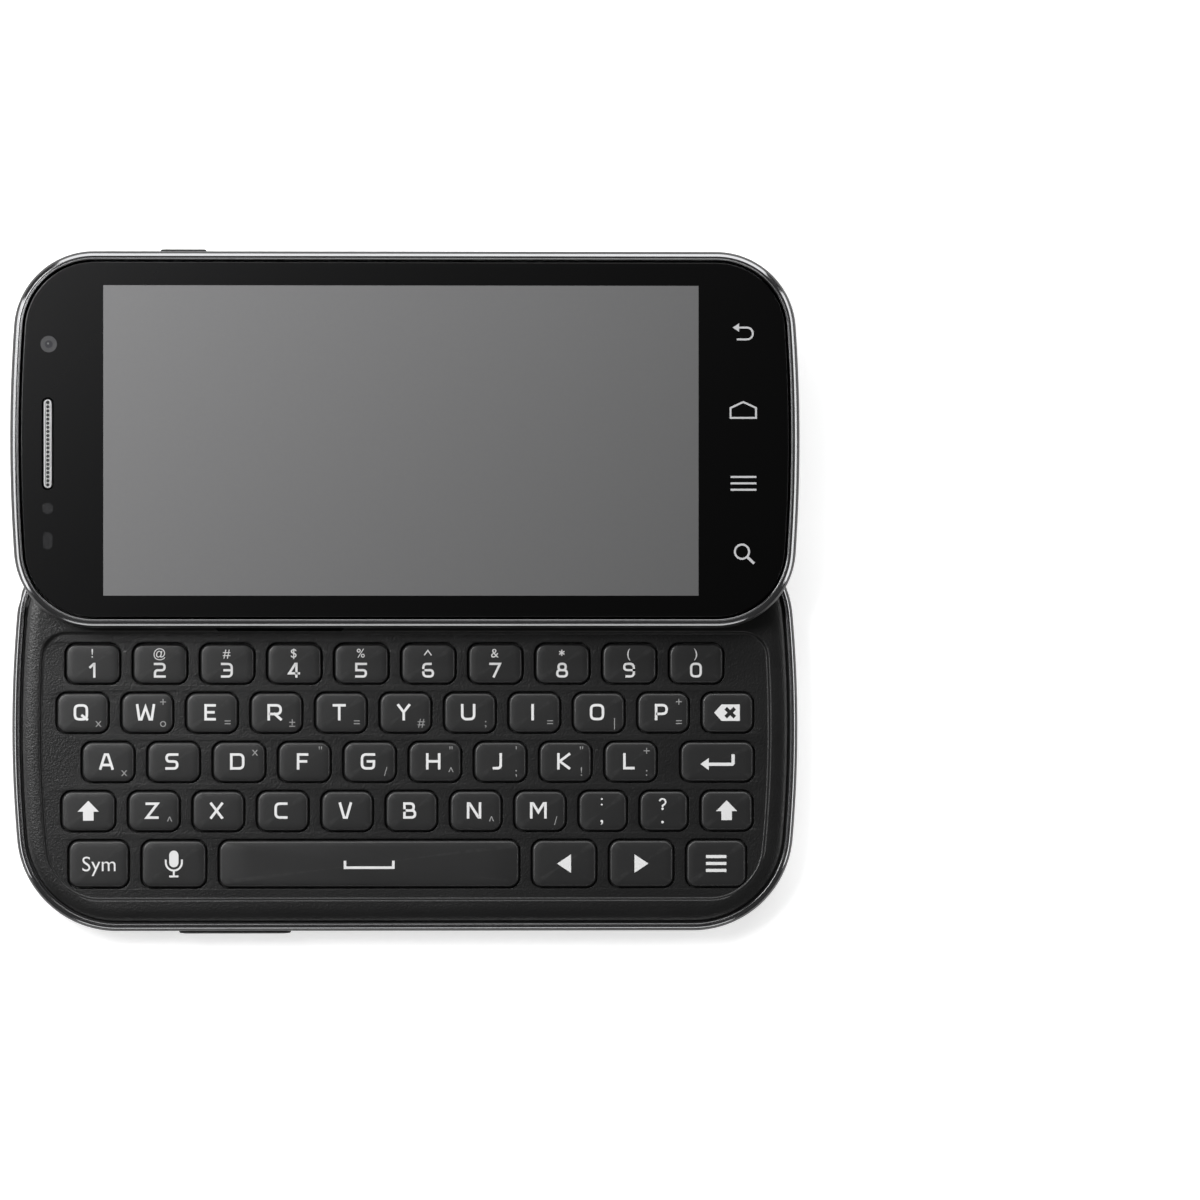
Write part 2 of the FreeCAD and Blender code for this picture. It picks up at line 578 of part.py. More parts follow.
def main_board():
    cans_z = (MAIN_BOARD_Z - CAN_T, MAIN_BOARD_Z)
    sockets_z = (MAIN_BOARD_Z - SOCKET_T, MAIN_BOARD_Z)
    board_left = LEFT + MAIN_BOARD_INSET
    first = board_left + CAN_MARGINS[0]
    second = board_left + CAN_MARGINS[1]
    cans = [box((first, first + CANS[0]), (BATTERY_Y[0], BATTERY_Y[0] + CANS[1]), cans_z),
            box((second, second + CANS[2]),
                (RING_SIZE / 2 + RING_FLANGE, JACK_Y - JACK_SIZE / 2 - CAN_GAP), cans_z)]
    bay = BATTERY_X[1] + BAY_CLEARANCE + SOCKET_MARGIN
    sim_socket = box((bay, bay + SIM_SOCKET[0]), (BATTERY_Y[0], BATTERY_Y[0] + SIM_SOCKET[1]),
                     sockets_z)
    card_socket = centred_box(bay + CARD_SOCKET[0] / 2, 0, CARD_SOCKET[0], CARD_SOCKET[1],
                              sockets_z)
    motor = Part.makeCylinder(MOTOR[0] / 2, MOTOR[1],
                              V(RIGHT - MOTOR_INSETS[0], NEAR + MOTOR_INSETS[1],
                                MAIN_BOARD_Z - MOTOR[0] / 2), V(0, 1, 0))
    speaker = centred_box(SPEAKER_XY[0], SPEAKER_XY[1], SPEAKER[0], SPEAKER[1],
                          (COVER_T + FIT, MAIN_BOARD_Z))
    board_edge = NEAR + MAIN_BOARD_INSET
    switch_face = NEAR + ROCKER_DEPTH + ROCKER_FLANGE_T + ROCKER_PLAY
    spread = ROCKER_LENGTH / 3
    switches = [centred_box(sum(ROCKER_X) / 2 + s * spread, (board_edge + switch_face) / 2,
                            SWITCH_W, abs(board_edge - switch_face),
                            (MAIN_BOARD_Z - SWITCH_RISE, MAIN_BOARD_TOP)) for s in (-1, 1)]
    jack = jack_body().cut(jack_bore(JACK_BORE_R))
    return [circuit_board(), charging_socket(), jack, speaker, sim_socket, card_socket, motor] \
        + cans + switches


def battery():
    pack = box(BATTERY_X, BATTERY_Y, (COVER_T + BATTERY_AIR, LOWER_BAY_TOP - BATTERY_AIR))
    upright = [e for e in pack.Edges if e.BoundBox.ZLength > BATTERY_AIR]
    return pack.makeFillet(BATTERY_R, upright)


def camera_ring():
    z = (RING_RECESS, COVER_T)
    flange_z = (COVER_T, CAMERA_RING_TOP)
    inner = RING_SIZE - 2 * RING_W
    wide = RING_SIZE + 2 * RING_FLANGE
    opening = inner - 2 * RING_LEDGE
    tube = rounded_box(CAMERA_X, 0, RING_SIZE, RING_SIZE, RING_R, z)
    tube = tube.makeFillet(RING_FILLET, edges_at(tube, z[0]))
    tube = tube.cut(rounded_box(CAMERA_X, 0, inner, inner, RING_R - RING_W, z))
    flange = rounded_box(CAMERA_X, 0, wide, wide, RING_R + RING_FLANGE, flange_z).cut(
        rounded_box(CAMERA_X, 0, opening, opening, RING_R - RING_W - RING_LEDGE, flange_z))
    return tube.fuse(flange).removeSplitter()


def rear_camera():
    size = RING_SIZE - 2 * RING_W - 2 * FIT
    window = rounded_box(CAMERA_X, 0, size, size, RING_R - RING_W - FIT,
                         (COVER_T - WINDOW_T, COVER_T))
    module = centred_box(CAMERA_X, 0, CAMERA_MODULE, CAMERA_MODULE,
                         (CAMERA_RING_TOP + FIT, LOWER_BAY_TOP))
    module = module.fuse(cylinder(CAMERA_X, 0, LENS_R, (COVER_T, CAMERA_RING_TOP + FIT)))
    lens = rounded_box(FLASH_XY[0], FLASH_XY[1], FLASH_SIZE, FLASH_SIZE, FLASH_R,
                       (RING_RECESS, COVER_T))
    led = centred_box(FLASH_XY[0], FLASH_XY[1], LED_SIZE, LED_SIZE, (COVER_T, MAIN_BOARD_Z))
    return [window, module, lens, led]


def base_screws():
    """Four screws clamp main board, web and deck; two hold the carriage's posts."""
    screws = []
    for x, y in SCREW_PLACES:
        head = cylinder(x, y, SCREW_HEAD_R, (MAIN_BOARD_Z - SCREW_HEAD_T, MAIN_BOARD_Z))
        screws.append(head.fuse(cylinder(x, y, SCREW_R, (MAIN_BOARD_Z, WEB_TOP + SCREW_BITE))))
    for x, y in POST_PLACES:
        head = cylinder(x, y, SCREW_HEAD_R, (DECK_Z - SCREW_HEAD_T, DECK_Z))
        screws.append(head.fuse(cylinder(x, y, SCREW_R, (DECK_Z, DECK_TOP + SCREW_BITE))))
    return screws


def volume_rocker():
    rocker = rocker_shape(0.0, 0.0)
    rib = cylinder(sum(ROCKER_X) / 2, NEAR + ROCKER_DEPTH + ROCKER_FLANGE_T, ROCKER_RIB_R,
                   (ROCKER_Z - ROCKER_HEIGHT / 2, ROCKER_Z + ROCKER_HEIGHT / 2))
    rocker = rocker.fuse(rib).removeSplitter()
    outer = [e for e in rocker.Edges if e.BoundBox.YMax < NEAR - ROCKER_PROUD + 1e-6]
    return rocker.makeFillet(min(ROCKER_FILLET, ROCKER_PROUD), outer)


# Slide module -----------------------------------------------------------------------------------

def slide_carriage():
    length, width, thick = CARRIAGE
    plate = centred_box(0, CARRIAGE_Y, length, width, (CARRIAGE_Z, CARRIAGE_TOP))
    posts = [rounded_box(x, y, POST[0], POST[1], POST_R, (DECK_TOP, CARRIAGE_Z))
             for x, y in POST_PLACES]
    pins = [cylinder(s * SPRING_FOOT_X, CARRIAGE_Y, SPRING_PIN_R,
                     (CARRIAGE_TOP, RAIL_TOP + SPRING_AIR / 4)) for s in (1, -1)]
    holes = [cylinder(x, y, SCREW_R, (DECK_TOP, DECK_TOP + SCREW_BITE)) for x, y in POST_PLACES]
    return plate.fuse(posts + pins).cut(Part.makeCompound(holes)).removeSplitter()


def slide_rails():
    inside = CARRIAGE[0] / 2 + RAIL_SIDE_AIR
    outside = inside + RAIL_EDGE_T
    half = outside + RAIL_SHELF
    plate = box((-half, half), RAIL_Y, (RAIL_Z, RAIL_TOP))
    edges = [box((inside, outside), RAIL_Y, (REAR_TOP, RAIL_Z)),
             box((-outside, -inside), RAIL_Y, (REAR_TOP, RAIL_Z))]
    pivots = [cylinder(s * SPRING_PIVOT_X, DISPLAY_Y, SPRING_PIN_R,
                       (RAIL_TOP, SPRING_Z + SPRING_T)) for s in (1, -1)]
    slot_width = 2 * (SPRING_PIN_R + POST_CLEARANCE)
    slots = [rounded_box(s * SPRING_FOOT_X, DISPLAY_Y, slot_width, TRAVEL + slot_width,
                         slot_width / 2, (RAIL_Z, RAIL_TOP)) for s in (1, -1)]
    holes = [cylinder(x, yy, STAKE_R + FIT / 2, (RAIL_Z, RAIL_TOP)) for x, yy in STAKE_PLACES]
    return plate.fuse(edges + pivots).cut(Part.makeCompound(slots + holes)).removeSplitter()


def slide_spring(side):
    """Flat wire spring from its pivot on the rail plate to its foot over the carriage's pin.

    It is drawn along +X from the pivot and then turned into place; side is 1 or -1 in X.
    """
    run = SPRING_PIVOT_X - SPRING_FOOT_X
    span = math.hypot(run, TRAVEL / 2)
    z = (SPRING_Z, SPRING_Z + SPRING_T)
    eye_in = SPRING_PIN_R + SPRING_EYE_GAP
    eye_out = eye_in + SPRING_EYE_W
    gap = math.radians(SPRING_LOOP_GAP)
    middle_r = SPRING_LOOP_R - SPRING_W / 2
    loop_x, loop_y = span / 2, middle_r * math.cos(gap)
    foot = middle_r * math.sin(gap)
    loop = cylinder(loop_x, loop_y, SPRING_LOOP_R, z).cut(
        cylinder(loop_x, loop_y, SPRING_LOOP_R - SPRING_W, z))
    loop = loop.cut(box((loop_x - foot, loop_x + foot), (-SPRING_LOOP_R, loop_y - middle_r / 2), z))
    legs = [box((eye_in + SPRING_W / 2, loop_x - foot + SPRING_W / 2),
                (-SPRING_W / 2, SPRING_W / 2), z),
            box((loop_x + foot - SPRING_W / 2, span - eye_in - SPRING_W / 2),
                (-SPRING_W / 2, SPRING_W / 2), z)]
    spring = loop.fuse(legs + [cylinder(0, 0, eye_out, z), cylinder(span, 0, eye_out, z)])
    spring = spring.cut(Part.makeCompound([cylinder(0, 0, eye_in, z), cylinder(span, 0, eye_in, z)]))
    spring = spring.removeSplitter()
    if side > 0:
        spring = spring.mirror(V(0, 0, 0), V(1, 0, 0))
    lean = math.degrees(math.atan2(TRAVEL / 2, run))
    spring.rotate(V(0, 0, 0), V(0, 0, 1), side * lean)
    spring.translate(V(side * SPRING_PIVOT_X, DISPLAY_Y, 0))
    return spring


# Display half -----------------------------------------------------------------------------------

def power_z():
    low = REAR_TOP + LIP_HEIGHT + POWER_ABOVE_LIP
    return low, low + POWER_HEIGHT


def power_shape(clearance, travel_room):
    """Power button: a bar through the bezel with a flange behind it."""
    front = DISPLAY_FAR + POWER_PROUD + travel_room
    wall = DISPLAY_FAR - BEZEL_W
    x0, x1 = POWER_X[0] - clearance, POWER_X[1] + clearance
    low, high = power_z()
    z = (low - clearance, high + clearance)
    bar = box((x0, x1), (wall - POWER_PLAY - POWER_FLANGE_T - travel_room, front), z)
    flange = box((x0 - POWER_FLANGE, x1 + POWER_FLANGE),
                 (wall - POWER_PLAY - POWER_FLANGE_T - travel_room, wall - POWER_PLAY), z)
    return bar.fuse(flange).removeSplitter()


def power_button():
    button = power_shape(0.0, 0.0)
    outer = [e for e in button.Edges if e.BoundBox.YMin > DISPLAY_FAR + POWER_PROUD - 1e-6]
    return button.makeFillet(min(POWER_FILLET, POWER_PROUD), outer)


def display_bezel():
    bezel = slab(DISPLAY, 0, REAR_TOP, BEZEL_TOP)
    bezel = bezel.makeFillet(BEZEL_TOP_FILLET, edges_at(bezel, BEZEL_TOP))
    bezel = bezel.makeFillet(BEZEL_BOTTOM_FILLET, edges_at(bezel, REAR_TOP))
    ledge_z = GLASS_Z - BEZEL_LEDGE_T
    cuts = [slab(DISPLAY, BEZEL_W, REAR_TOP, ledge_z),
            slab(DISPLAY, BEZEL_W + BEZEL_LEDGE, ledge_z, GLASS_Z),
            slab(DISPLAY, BEZEL_W, GLASS_Z, BEZEL_TOP)]
    low, high = power_z()
    cuts.append(box((POWER_X[0] - FIT, POWER_X[1] + FIT),
                    (DISPLAY_FAR - 2 * BEZEL_W, DISPLAY_FAR + 1), (low - FIT, high + FIT)))
    for cut in cuts:
        bezel = bezel.cut(cut)
    return bezel


def display_rear_cover():
    floor = slab(DISPLAY, REAR_INSET, DISPLAY_Z, REAR_TOP)
    floor = floor.makeFillet(REAR_FILLET, edges_at(floor, DISPLAY_Z))
    lip = slab(DISPLAY, LIP_INSET, REAR_TOP, REAR_TOP + LIP_HEIGHT).cut(
        slab(DISPLAY, LIP_INSET + LIP_T, REAR_TOP, REAR_TOP + LIP_HEIGHT))
    bosses = [cylinder(x, y, STAKE_BOSS_R, (REAR_TOP, RAIL_Z)) for x, y in STAKE_PLACES]
    stakes = [cylinder(x, y, STAKE_R, (RAIL_Z, RAIL_TOP + STAKE_HEAD)) for x, y in STAKE_PLACES]
    switch_post = box(*switch_place(), (REAR_TOP, power_z()[0]))
    slots = [rounded_box(x, DISPLAY_Y, POST[0] + 2 * POST_CLEARANCE,
                         TRAVEL + POST[1] + 2 * POST_CLEARANCE, REAR_SLOT_R,
                         (DISPLAY_Z, REAR_TOP))
             for x, y in POST_PLACES]
    cover = floor.fuse([lip, switch_post] + bosses + stakes)
    return cover.cut(Part.makeCompound(slots)).removeSplitter()


def switch_place():
    """X and Y limits of the power switch, between the button's flange and the LCD."""
    middle = sum(POWER_X) / 2
    front = DISPLAY_FAR - BEZEL_W - POWER_PLAY - POWER_FLANGE_T - POWER_TRAVEL - FIT
    return ((middle - POWER_SWITCH_W / 2, middle + POWER_SWITCH_W / 2),
            (max(LCD_Y[1], RAIL_Y[1]) + FIT, front))


def ear_slot(width, length, z):
    return rounded_box(EAR_X, DISPLAY_Y + EAR_Y, width, length, width / 2, z)


def screen_glass():
    glass = slab(DISPLAY, BEZEL_W + GLASS_GAP, GLASS_Z, GLASS_TOP)
    glass = glass.makeChamfer(GLASS_CHAMFER, edges_at(glass, GLASS_TOP))
    return glass.cut(ear_slot(EAR_SLOT[0], EAR_SLOT[1], (GLASS_Z, GLASS_TOP)))


def lcd_panel():
    backlight = box(LCD_X, LCD_Y, (GLASS_Z - LCD_T, GLASS_Z - CELL_T))
    cell = box((LCD_X[0] + CELL_MARGIN, LCD_X[1] - CELL_MARGIN),
               (LCD_Y[0] + CELL_MARGIN, LCD_Y[1] - CELL_MARGIN), (GLASS_Z - CELL_T, GLASS_Z))
    return [backlight, cell]


def earpiece():
    """Holder, flex, receiver, grille, front camera, sensor and power switch."""
    length = DISPLAY_WIDTH - 2 * HOLDER_SIDE_MARGIN
    flex_z = REAR_TOP + HOLDER_T
    part_z = flex_z + FRONT_FLEX_T
    top = GLASS_Z - FIT
    holder = centred_box(EAR_X, DISPLAY_Y, HOLDER_W, length, (REAR_TOP, flex_z))
    flex = centred_box(EAR_X, DISPLAY_Y, HOLDER_W - 2 * FLEX_MARGIN, length, (flex_z, part_z))
    receiver = centred_box(EAR_X, DISPLAY_Y + EAR_Y, RECEIVER[0], RECEIVER[1], (part_z, top))
    mesh = ear_slot(EAR_SLOT[0] - 2 * EAR_GAP, EAR_SLOT[1] - 2 * EAR_GAP,
                    (top, GLASS_TOP - EAR_SUNK))
    camera_y = DISPLAY_FAR - FRONT_CAMERA_INSET
    lens_z = top - FRONT_LENS_T
    camera = centred_box(EAR_X, camera_y, HOLDER_W, HOLDER_W, (part_z, lens_z)).fuse(
        cylinder(EAR_X, camera_y, FRONT_LENS_R, (lens_z, top)))
    sensor = centred_box(EAR_X, DISPLAY_NEAR + SENSOR_INSET, SENSOR[0], SENSOR[1], (part_z, top))
    switch = box(*switch_place(), power_z())
    return [holder, flex, receiver, mesh, camera, sensor, switch]


os.makedirs("parts", exist_ok=True)
save("base_frame", base_frame())
save("keyboard_deck", keyboard_deck())
save("back_cover", back_cover())
save_keys()
save("key_mat", keypad_sheet(MAT_Z, MAT_Z + MAT_T))
save("keypad_board", *keypad_board())
save("main_board", *main_board())
save("battery", battery())
save("camera_ring", camera_ring())
save("rear_camera", *rear_camera())
save("base_screws", *base_screws())
save("volume_rocker", volume_rocker())
save("slide_carriage", slide_carriage())
save("slide_rails", slide_rails())
save("slide_spring_left", slide_spring(-1))
save("slide_spring_right", slide_spring(1))
save("display_bezel", display_bezel())
save("display_rear_cover", display_rear_cover())
save("screen_glass", screen_glass())
save("lcd_panel", *lcd_panel())
save("earpiece", *earpiece())
save("power_button", power_button())
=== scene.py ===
import math

import bmesh
import bpy
from bpy.props import FloatProperty, FloatVectorProperty, PointerProperty
from mathutils import Matrix, Vector
from mathutils.geometry import tessellate_polygon


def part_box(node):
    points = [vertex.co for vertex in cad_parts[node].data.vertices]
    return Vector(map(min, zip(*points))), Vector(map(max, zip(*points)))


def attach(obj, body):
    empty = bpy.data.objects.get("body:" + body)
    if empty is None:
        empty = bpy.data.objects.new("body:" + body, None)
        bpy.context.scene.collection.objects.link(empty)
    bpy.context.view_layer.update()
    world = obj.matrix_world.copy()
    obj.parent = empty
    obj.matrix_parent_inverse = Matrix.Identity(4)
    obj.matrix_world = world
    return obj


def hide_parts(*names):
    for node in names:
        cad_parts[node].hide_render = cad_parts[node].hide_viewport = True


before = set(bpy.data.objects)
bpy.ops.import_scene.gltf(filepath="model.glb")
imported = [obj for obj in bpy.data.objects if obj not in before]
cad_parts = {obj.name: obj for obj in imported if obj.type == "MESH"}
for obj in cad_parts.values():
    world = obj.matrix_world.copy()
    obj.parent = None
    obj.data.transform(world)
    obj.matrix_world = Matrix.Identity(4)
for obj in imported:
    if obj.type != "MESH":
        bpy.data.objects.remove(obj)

bl_info = {
    "name": "Slider Phone",
    "version": (1, 0, 0),
    "blender": (4, 5, 0),
    "location": "3D View > Sidebar > Slider Phone",
    "description": "Builds the visible pieces of a phone with a slide-out keyboard",
    "category": "Object",
}

MM = 0.001
QUARTER = math.pi / 2
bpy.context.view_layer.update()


def limits(node):
    """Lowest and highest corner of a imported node, in millimetres."""
    low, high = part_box(node)
    return low / MM, high / MM


BASE_LOW, BASE_HIGH = limits("base_frame")
BEZEL_LOW, BEZEL_HIGH = limits("display_bezel")
GLASS_TOP = limits("screen_glass")[1].z
DECK_TOP = BASE_HIGH.z
DISPLAY_Y = (BEZEL_LOW.y + BEZEL_HIGH.y) / 2

# Each half: half length, half width, side radius, corner radius, centre in Y
BASE = (BASE_HIGH.x, (BASE_HIGH.y - BASE_LOW.y) / 2, 210.5, 16.2, (BASE_HIGH.y + BASE_LOW.y) / 2)
DISPLAY = (BEZEL_HIGH.x, (BEZEL_HIGH.y - BEZEL_LOW.y) / 2, 268.5, 12.9, DISPLAY_Y)


# Sizes and colours a user may change -----------------------------------------------------

def length(name, description, default):
    return FloatProperty(name=name, description=description, default=default * MM,
                         min=0.0, unit="LENGTH", precision=5)


def colour(name, description, default):
    return FloatVectorProperty(name=name, description=description, default=default,
                               subtype="COLOR", size=3, min=0.0, max=1.0)


class PhoneSizes(bpy.types.PropertyGroup):
    """Sizes of the visible details"""
    bezel_width: length("Bezel Width", "Width of the ring round the glass", 1.62)
    rim_width: length("Rim Width", "Width of the rim beside the keyboard deck", 1.42)
    key_fillet: length("Key Fillet", "Radius of a keycap's upper edge", 0.42)
    key_crown: length("Key Crown", "Rise of a keycap's middle over its edge", 0.05)
    key_corner: length("Key Corner", "Radius of a keycap's corners seen from above", 1.55)
    key_gap: length("Key Gap", "Gap between a keycap and the deck", 0.29)
    letter_height: length("Letter Height", "Height of the capital letters on the keys", 2.65)
    digit_height: length("Digit Height", "Height of the digits on the keys", 2.4)
    weave_pitch: length("Weave Pitch", "Spacing of the back cover's woven texture", 0.62)
    grain_size: length("Grain Size", "Size of the moulded plastic's grain", 0.32)


class PhoneColours(bpy.types.PropertyGroup):
    """Colours of the finishes"""
    rim: colour("Rim", "Polished rims of both halves", (0.13, 0.13, 0.133))
    deck: colour("Deck", "Keyboard deck", (0.0042, 0.0042, 0.0043))
    keycap: colour("Keycap", "Keycaps", (0.0090, 0.0090, 0.0092))
    legend: colour("Legend", "Signs on the keys", (0.70, 0.70, 0.70))
    cover: colour("Cover", "Back cover", (0.008, 0.008, 0.0085))
    glass: colour("Glass", "Border of the screen glass", (0.0042, 0.0042, 0.0043))
    window: colour("Window", "Lit area of the screen", (0.150, 0.150, 0.1515))
    chrome: colour("Chrome", "Ring round the rear camera", (0.80, 0.80, 0.81))


def size(name):
    """A size that the user may change, in millimetres."""
    return getattr(bpy.context.scene.phone_sizes, name) / MM


def colours():
    return bpy.context.scene.phone_colours


# Paths -----------------------------------------------------------------------------------

SIDE_STEPS, CORNER_STEPS, STRAIGHT_STEPS = 40, 34, 24
STRIP_THICKNESS = 0.12           # of the perforated strips


def arc(cx, cy, radius, start, end, steps, last=False):
    """Stations on an arc from start to end, in radians; last adds the one at its end."""
    path = []
    for step in range(steps + last):
        angle = start + (end - start) * step / steps
        nx, ny = math.cos(angle), math.sin(angle)
        path.append((cx + radius * nx, cy + radius * ny, nx, ny))
    return path


def straight(x0, x1, y, ny):
    """Stations between two corners, without the corners."""
    return [(x0 + (x1 - x0) * step / STRAIGHT_STEPS, y, 0.0, ny)
            for step in range(1, STRAIGHT_STEPS)]


def bowed_outline(half, inset=0.0, bottom_radius=None, top=None, top_radius=None):
    """Outline with bowed short sides and round corners, anticlockwise from the lower right.

    top is another place for the upper long side, and the radii are for other corners."""
    a, b, side_r, corner_r, centre_y = half
    side_x, side_r = a - side_r, side_r - inset
    bottom_r = bottom_radius or corner_r - inset
    top_r = top_radius or bottom_r
    low, high = -b + inset, (b - inset if top is None else top - centre_y)
    ty, by = high - top_r, low + bottom_r
    tx = side_x + math.sqrt((side_r - top_r) ** 2 - ty ** 2)
    bx = side_x + math.sqrt((side_r - bottom_r) ** 2 - by ** 2)
    lean_top, lean_bottom = math.atan2(ty, tx - side_x), math.atan2(by, bx - side_x)
    right = (arc(bx, by, bottom_r, -QUARTER, lean_bottom, CORNER_STEPS)
             + arc(side_x, 0, side_r, lean_bottom, lean_top, SIDE_STEPS)
             + arc(tx, ty, top_r, lean_top, QUARTER, CORNER_STEPS, last=True))
    left = [(-x, y, -nx, ny) for x, y, nx, ny in reversed(right)]
    path = right + straight(tx, -tx, high, 1.0) + left + straight(-bx, bx, low, -1.0)
    return [(x, y + centre_y, nx, ny) for x, y, nx, ny in path]


def rounded_rectangle(cx, cy, width, height, radius, steps=8):
    """Stations round a rounded rectangle, anticlockwise."""
    radius = min(radius, width / 2 - 1e-3, height / 2 - 1e-3)
    path = []
    for quadrant, (sx, sy) in enumerate(((1, 1), (-1, 1), (-1, -1), (1, -1))):
        path += arc(cx + sx * (width / 2 - radius), cy + sy * (height / 2 - radius), radius,
                    quadrant * QUARTER, (quadrant + 1) * QUARTER, steps, last=True)
    return path


def disc(cx, cy, radius, steps=40):
    return arc(cx, cy, radius, 0, 4 * QUARTER, steps)


def hole(path):
    """The same stations as the edge of a hole: the material lies outside them."""
    return [(x, y, -nx, -ny) for x, y, nx, ny in path]


def places(path):
    """The points of a path without their directions."""
    return [(x, y) for x, y, nx, ny in path]


def curve(cx, cy, radius, start, end, steps=14):
    """Points on an arc, both ends included, in degrees."""
    return places(arc(cx, cy, radius, math.radians(start), math.radians(end), steps, last=True))


def bend(before, corner, after, reach, steps):
    """Points of a smooth curve that cuts a corner, reach long on both sides."""
    before, corner, after = Vector(before), Vector(corner), Vector(after)
    start = corner + (before - corner).normalized() * reach
    end = corner + (after - corner).normalized() * reach
    points = []
    for step in range(steps + 1):
        t = step / steps
        points.append(tuple(start * (1 - t) ** 2 + corner * (2 * t * (1 - t)) + end * t ** 2))
    return points


def softened(corners, steps=4):
    """Profile points from (inset, z, radius) corners, each radius a smooth curve."""
    points = []
    for index, (inset, z, radius) in enumerate(corners):
        before, after = corners[index - 1][:2], corners[(index + 1) % len(corners)][:2]
        points += bend(before, (inset, z), after, radius, steps) if radius else [(inset, z)]
    return points


def rounded_line(line, rounded, radius):
    """The line with its flagged corners made round."""
    smooth = []
    for i, (corner, is_round) in enumerate(zip(line, rounded)):
        before, after = line[i - 1], line[(i + 1) % len(line)]
        reach = min(radius, math.dist(before, corner) / 2, math.dist(after, corner) / 2)
        points = bend(before, corner, after, reach, 5) if is_round else [corner]
        if smooth and math.dist(points[0], smooth[-1]) < 1e-4:
            points.pop(0)
        smooth += points
    return smooth


def moved(points, dx, dy):
    return [(x + dx, y + dy) for x, y in points]


# Faces -----------------------------------------------------------------------------------

def bridge(shape, lower, upper, finish=0):
    for i, vertex in enumerate(lower):
        face = shape.faces.new((lower[i - 1], vertex, upper[i], upper[i - 1]))
        face.material_index = finish


def wall(shape, path, profile, closed=False, finish=0):
    """Rings along a path for every (inset, z) of a profile; returns the first and the last."""
    rings = [[shape.verts.new((x - inset * nx, y - inset * ny, z)) for x, y, nx, ny in path]
             for inset, z in profile]
    for lower, upper in zip(rings, rings[1:]):
        bridge(shape, lower, upper, finish)
    if closed:
        bridge(shape, rings[-1], rings[0], finish)
    return rings[0], rings[-1]


def fill(shape, rings, finish=0):
    """Flat face between an outer ring of vertices and the rings of its holes."""
    loops = [[Vector((v.co.x, v.co.y, 0)) for v in ring] for ring in rings]
    corners = [v for ring in rings for v in ring]
    for triangle in tessellate_polygon(loops):
        shape.faces.new([corners[index] for index in triangle]).material_index = finish


def plate(shape, outer, holes, z0, z1, bevel, finish=0):
    """Plate with bevelled upper and lower edges and the same edges round its holes."""
    profile = softened([(bevel * 3, z0, 0), (0, z0, bevel), (0, z1, bevel), (bevel * 3, z1, 0)],
                       3)[1:-1]
    ends = [wall(shape, path, profile, finish=finish) for path in [outer] + holes]
    for side in zip(*ends):
        fill(shape, side, finish)


def tile(shape, loops, z0, z1):
    """Flat sign: a polygon and its holes, as points, with straight sides."""
    sides = [[[shape.verts.new((x, y, z)) for x, y in loop] for loop in loops] for z in (z0, z1)]
    for lower, upper in zip(*sides):
        bridge(shape, lower, upper)
    for side in sides:
        fill(shape, side)


def ribbon(shape, line, width, z0, z1, closed=False):
    """Line of even width and thickness along points, with mitred corners."""
    rows = [[], [], [], []]
    first_side = 0 if closed else 1
    for i, point in enumerate(line):
        here = Vector(point)
        into = here - Vector(line[i - 1]) if i >= first_side else Vector(line[1]) - here
        is_end = i == len(line) - 1 and not closed
        out = into if is_end else Vector(line[(i + 1) % len(line)]) - here
        into, out = into.normalized(), out.normalized()
        side = Vector((-into.y - out.y, into.x + out.x)).normalized()
        side *= width / 2 / max(0.35, side.dot(Vector((-into.y, into.x))))
        for row, edge, z in zip(rows, (side, side, -side, -side), (z0, z1, z1, z0)):
            row.append(shape.verts.new((*(here + edge), z)))
    for first, second in zip(rows, rows[1:] + rows[:1]):
        for i in range(first_side, len(line)):
            shape.faces.new((first[i - 1], first[i], second[i], second[i - 1]))
    if not closed:
        for end in (0, -1):
            shape.faces.new([row[end] for row in rows])


def prism(outline, span, axis):
    """Solid along a span of one axis, with an outline in the other two."""
    shape = bmesh.new()
    rows = []
    for along in span:
        corners = [(*point[:axis], along, *point[axis:]) for point in outline]
        rows.append([shape.verts.new(corner) for corner in corners])
        shape.faces.new(rows[-1])
    bridge(shape, *rows)
    return shape


def rectangle(x0, x1, y0, y1):
    return [(x0, y0), (x1, y0), (x1, y1), (x0, y1)]


# Pieces ----------------------------------------------------------------------------------

def link(name, data):
    obj = bpy.data.objects.new(name, data)
    bpy.context.scene.collection.objects.link(obj)
    return obj


def applied(obj):
    """The object's mesh with its modifiers worked out, which are then removed."""
    graph = bpy.context.evaluated_depsgraph_get()
    mesh = bpy.data.meshes.new_from_object(obj.evaluated_get(graph), depsgraph=graph)
    obj.modifiers.clear()
    return mesh


def to_mesh(name, shape):
    """Mesh in metres of a closed shape in millimetres, its faces turned outwards."""
    bmesh.ops.remove_doubles(shape, verts=shape.verts, dist=1e-4)
    bmesh.ops.recalc_face_normals(shape, faces=shape.faces)
    bmesh.ops.scale(shape, vec=(MM, MM, MM), verts=shape.verts)
    mesh = bpy.data.meshes.new(name)
    shape.to_mesh(mesh)
    shape.free()
    return mesh


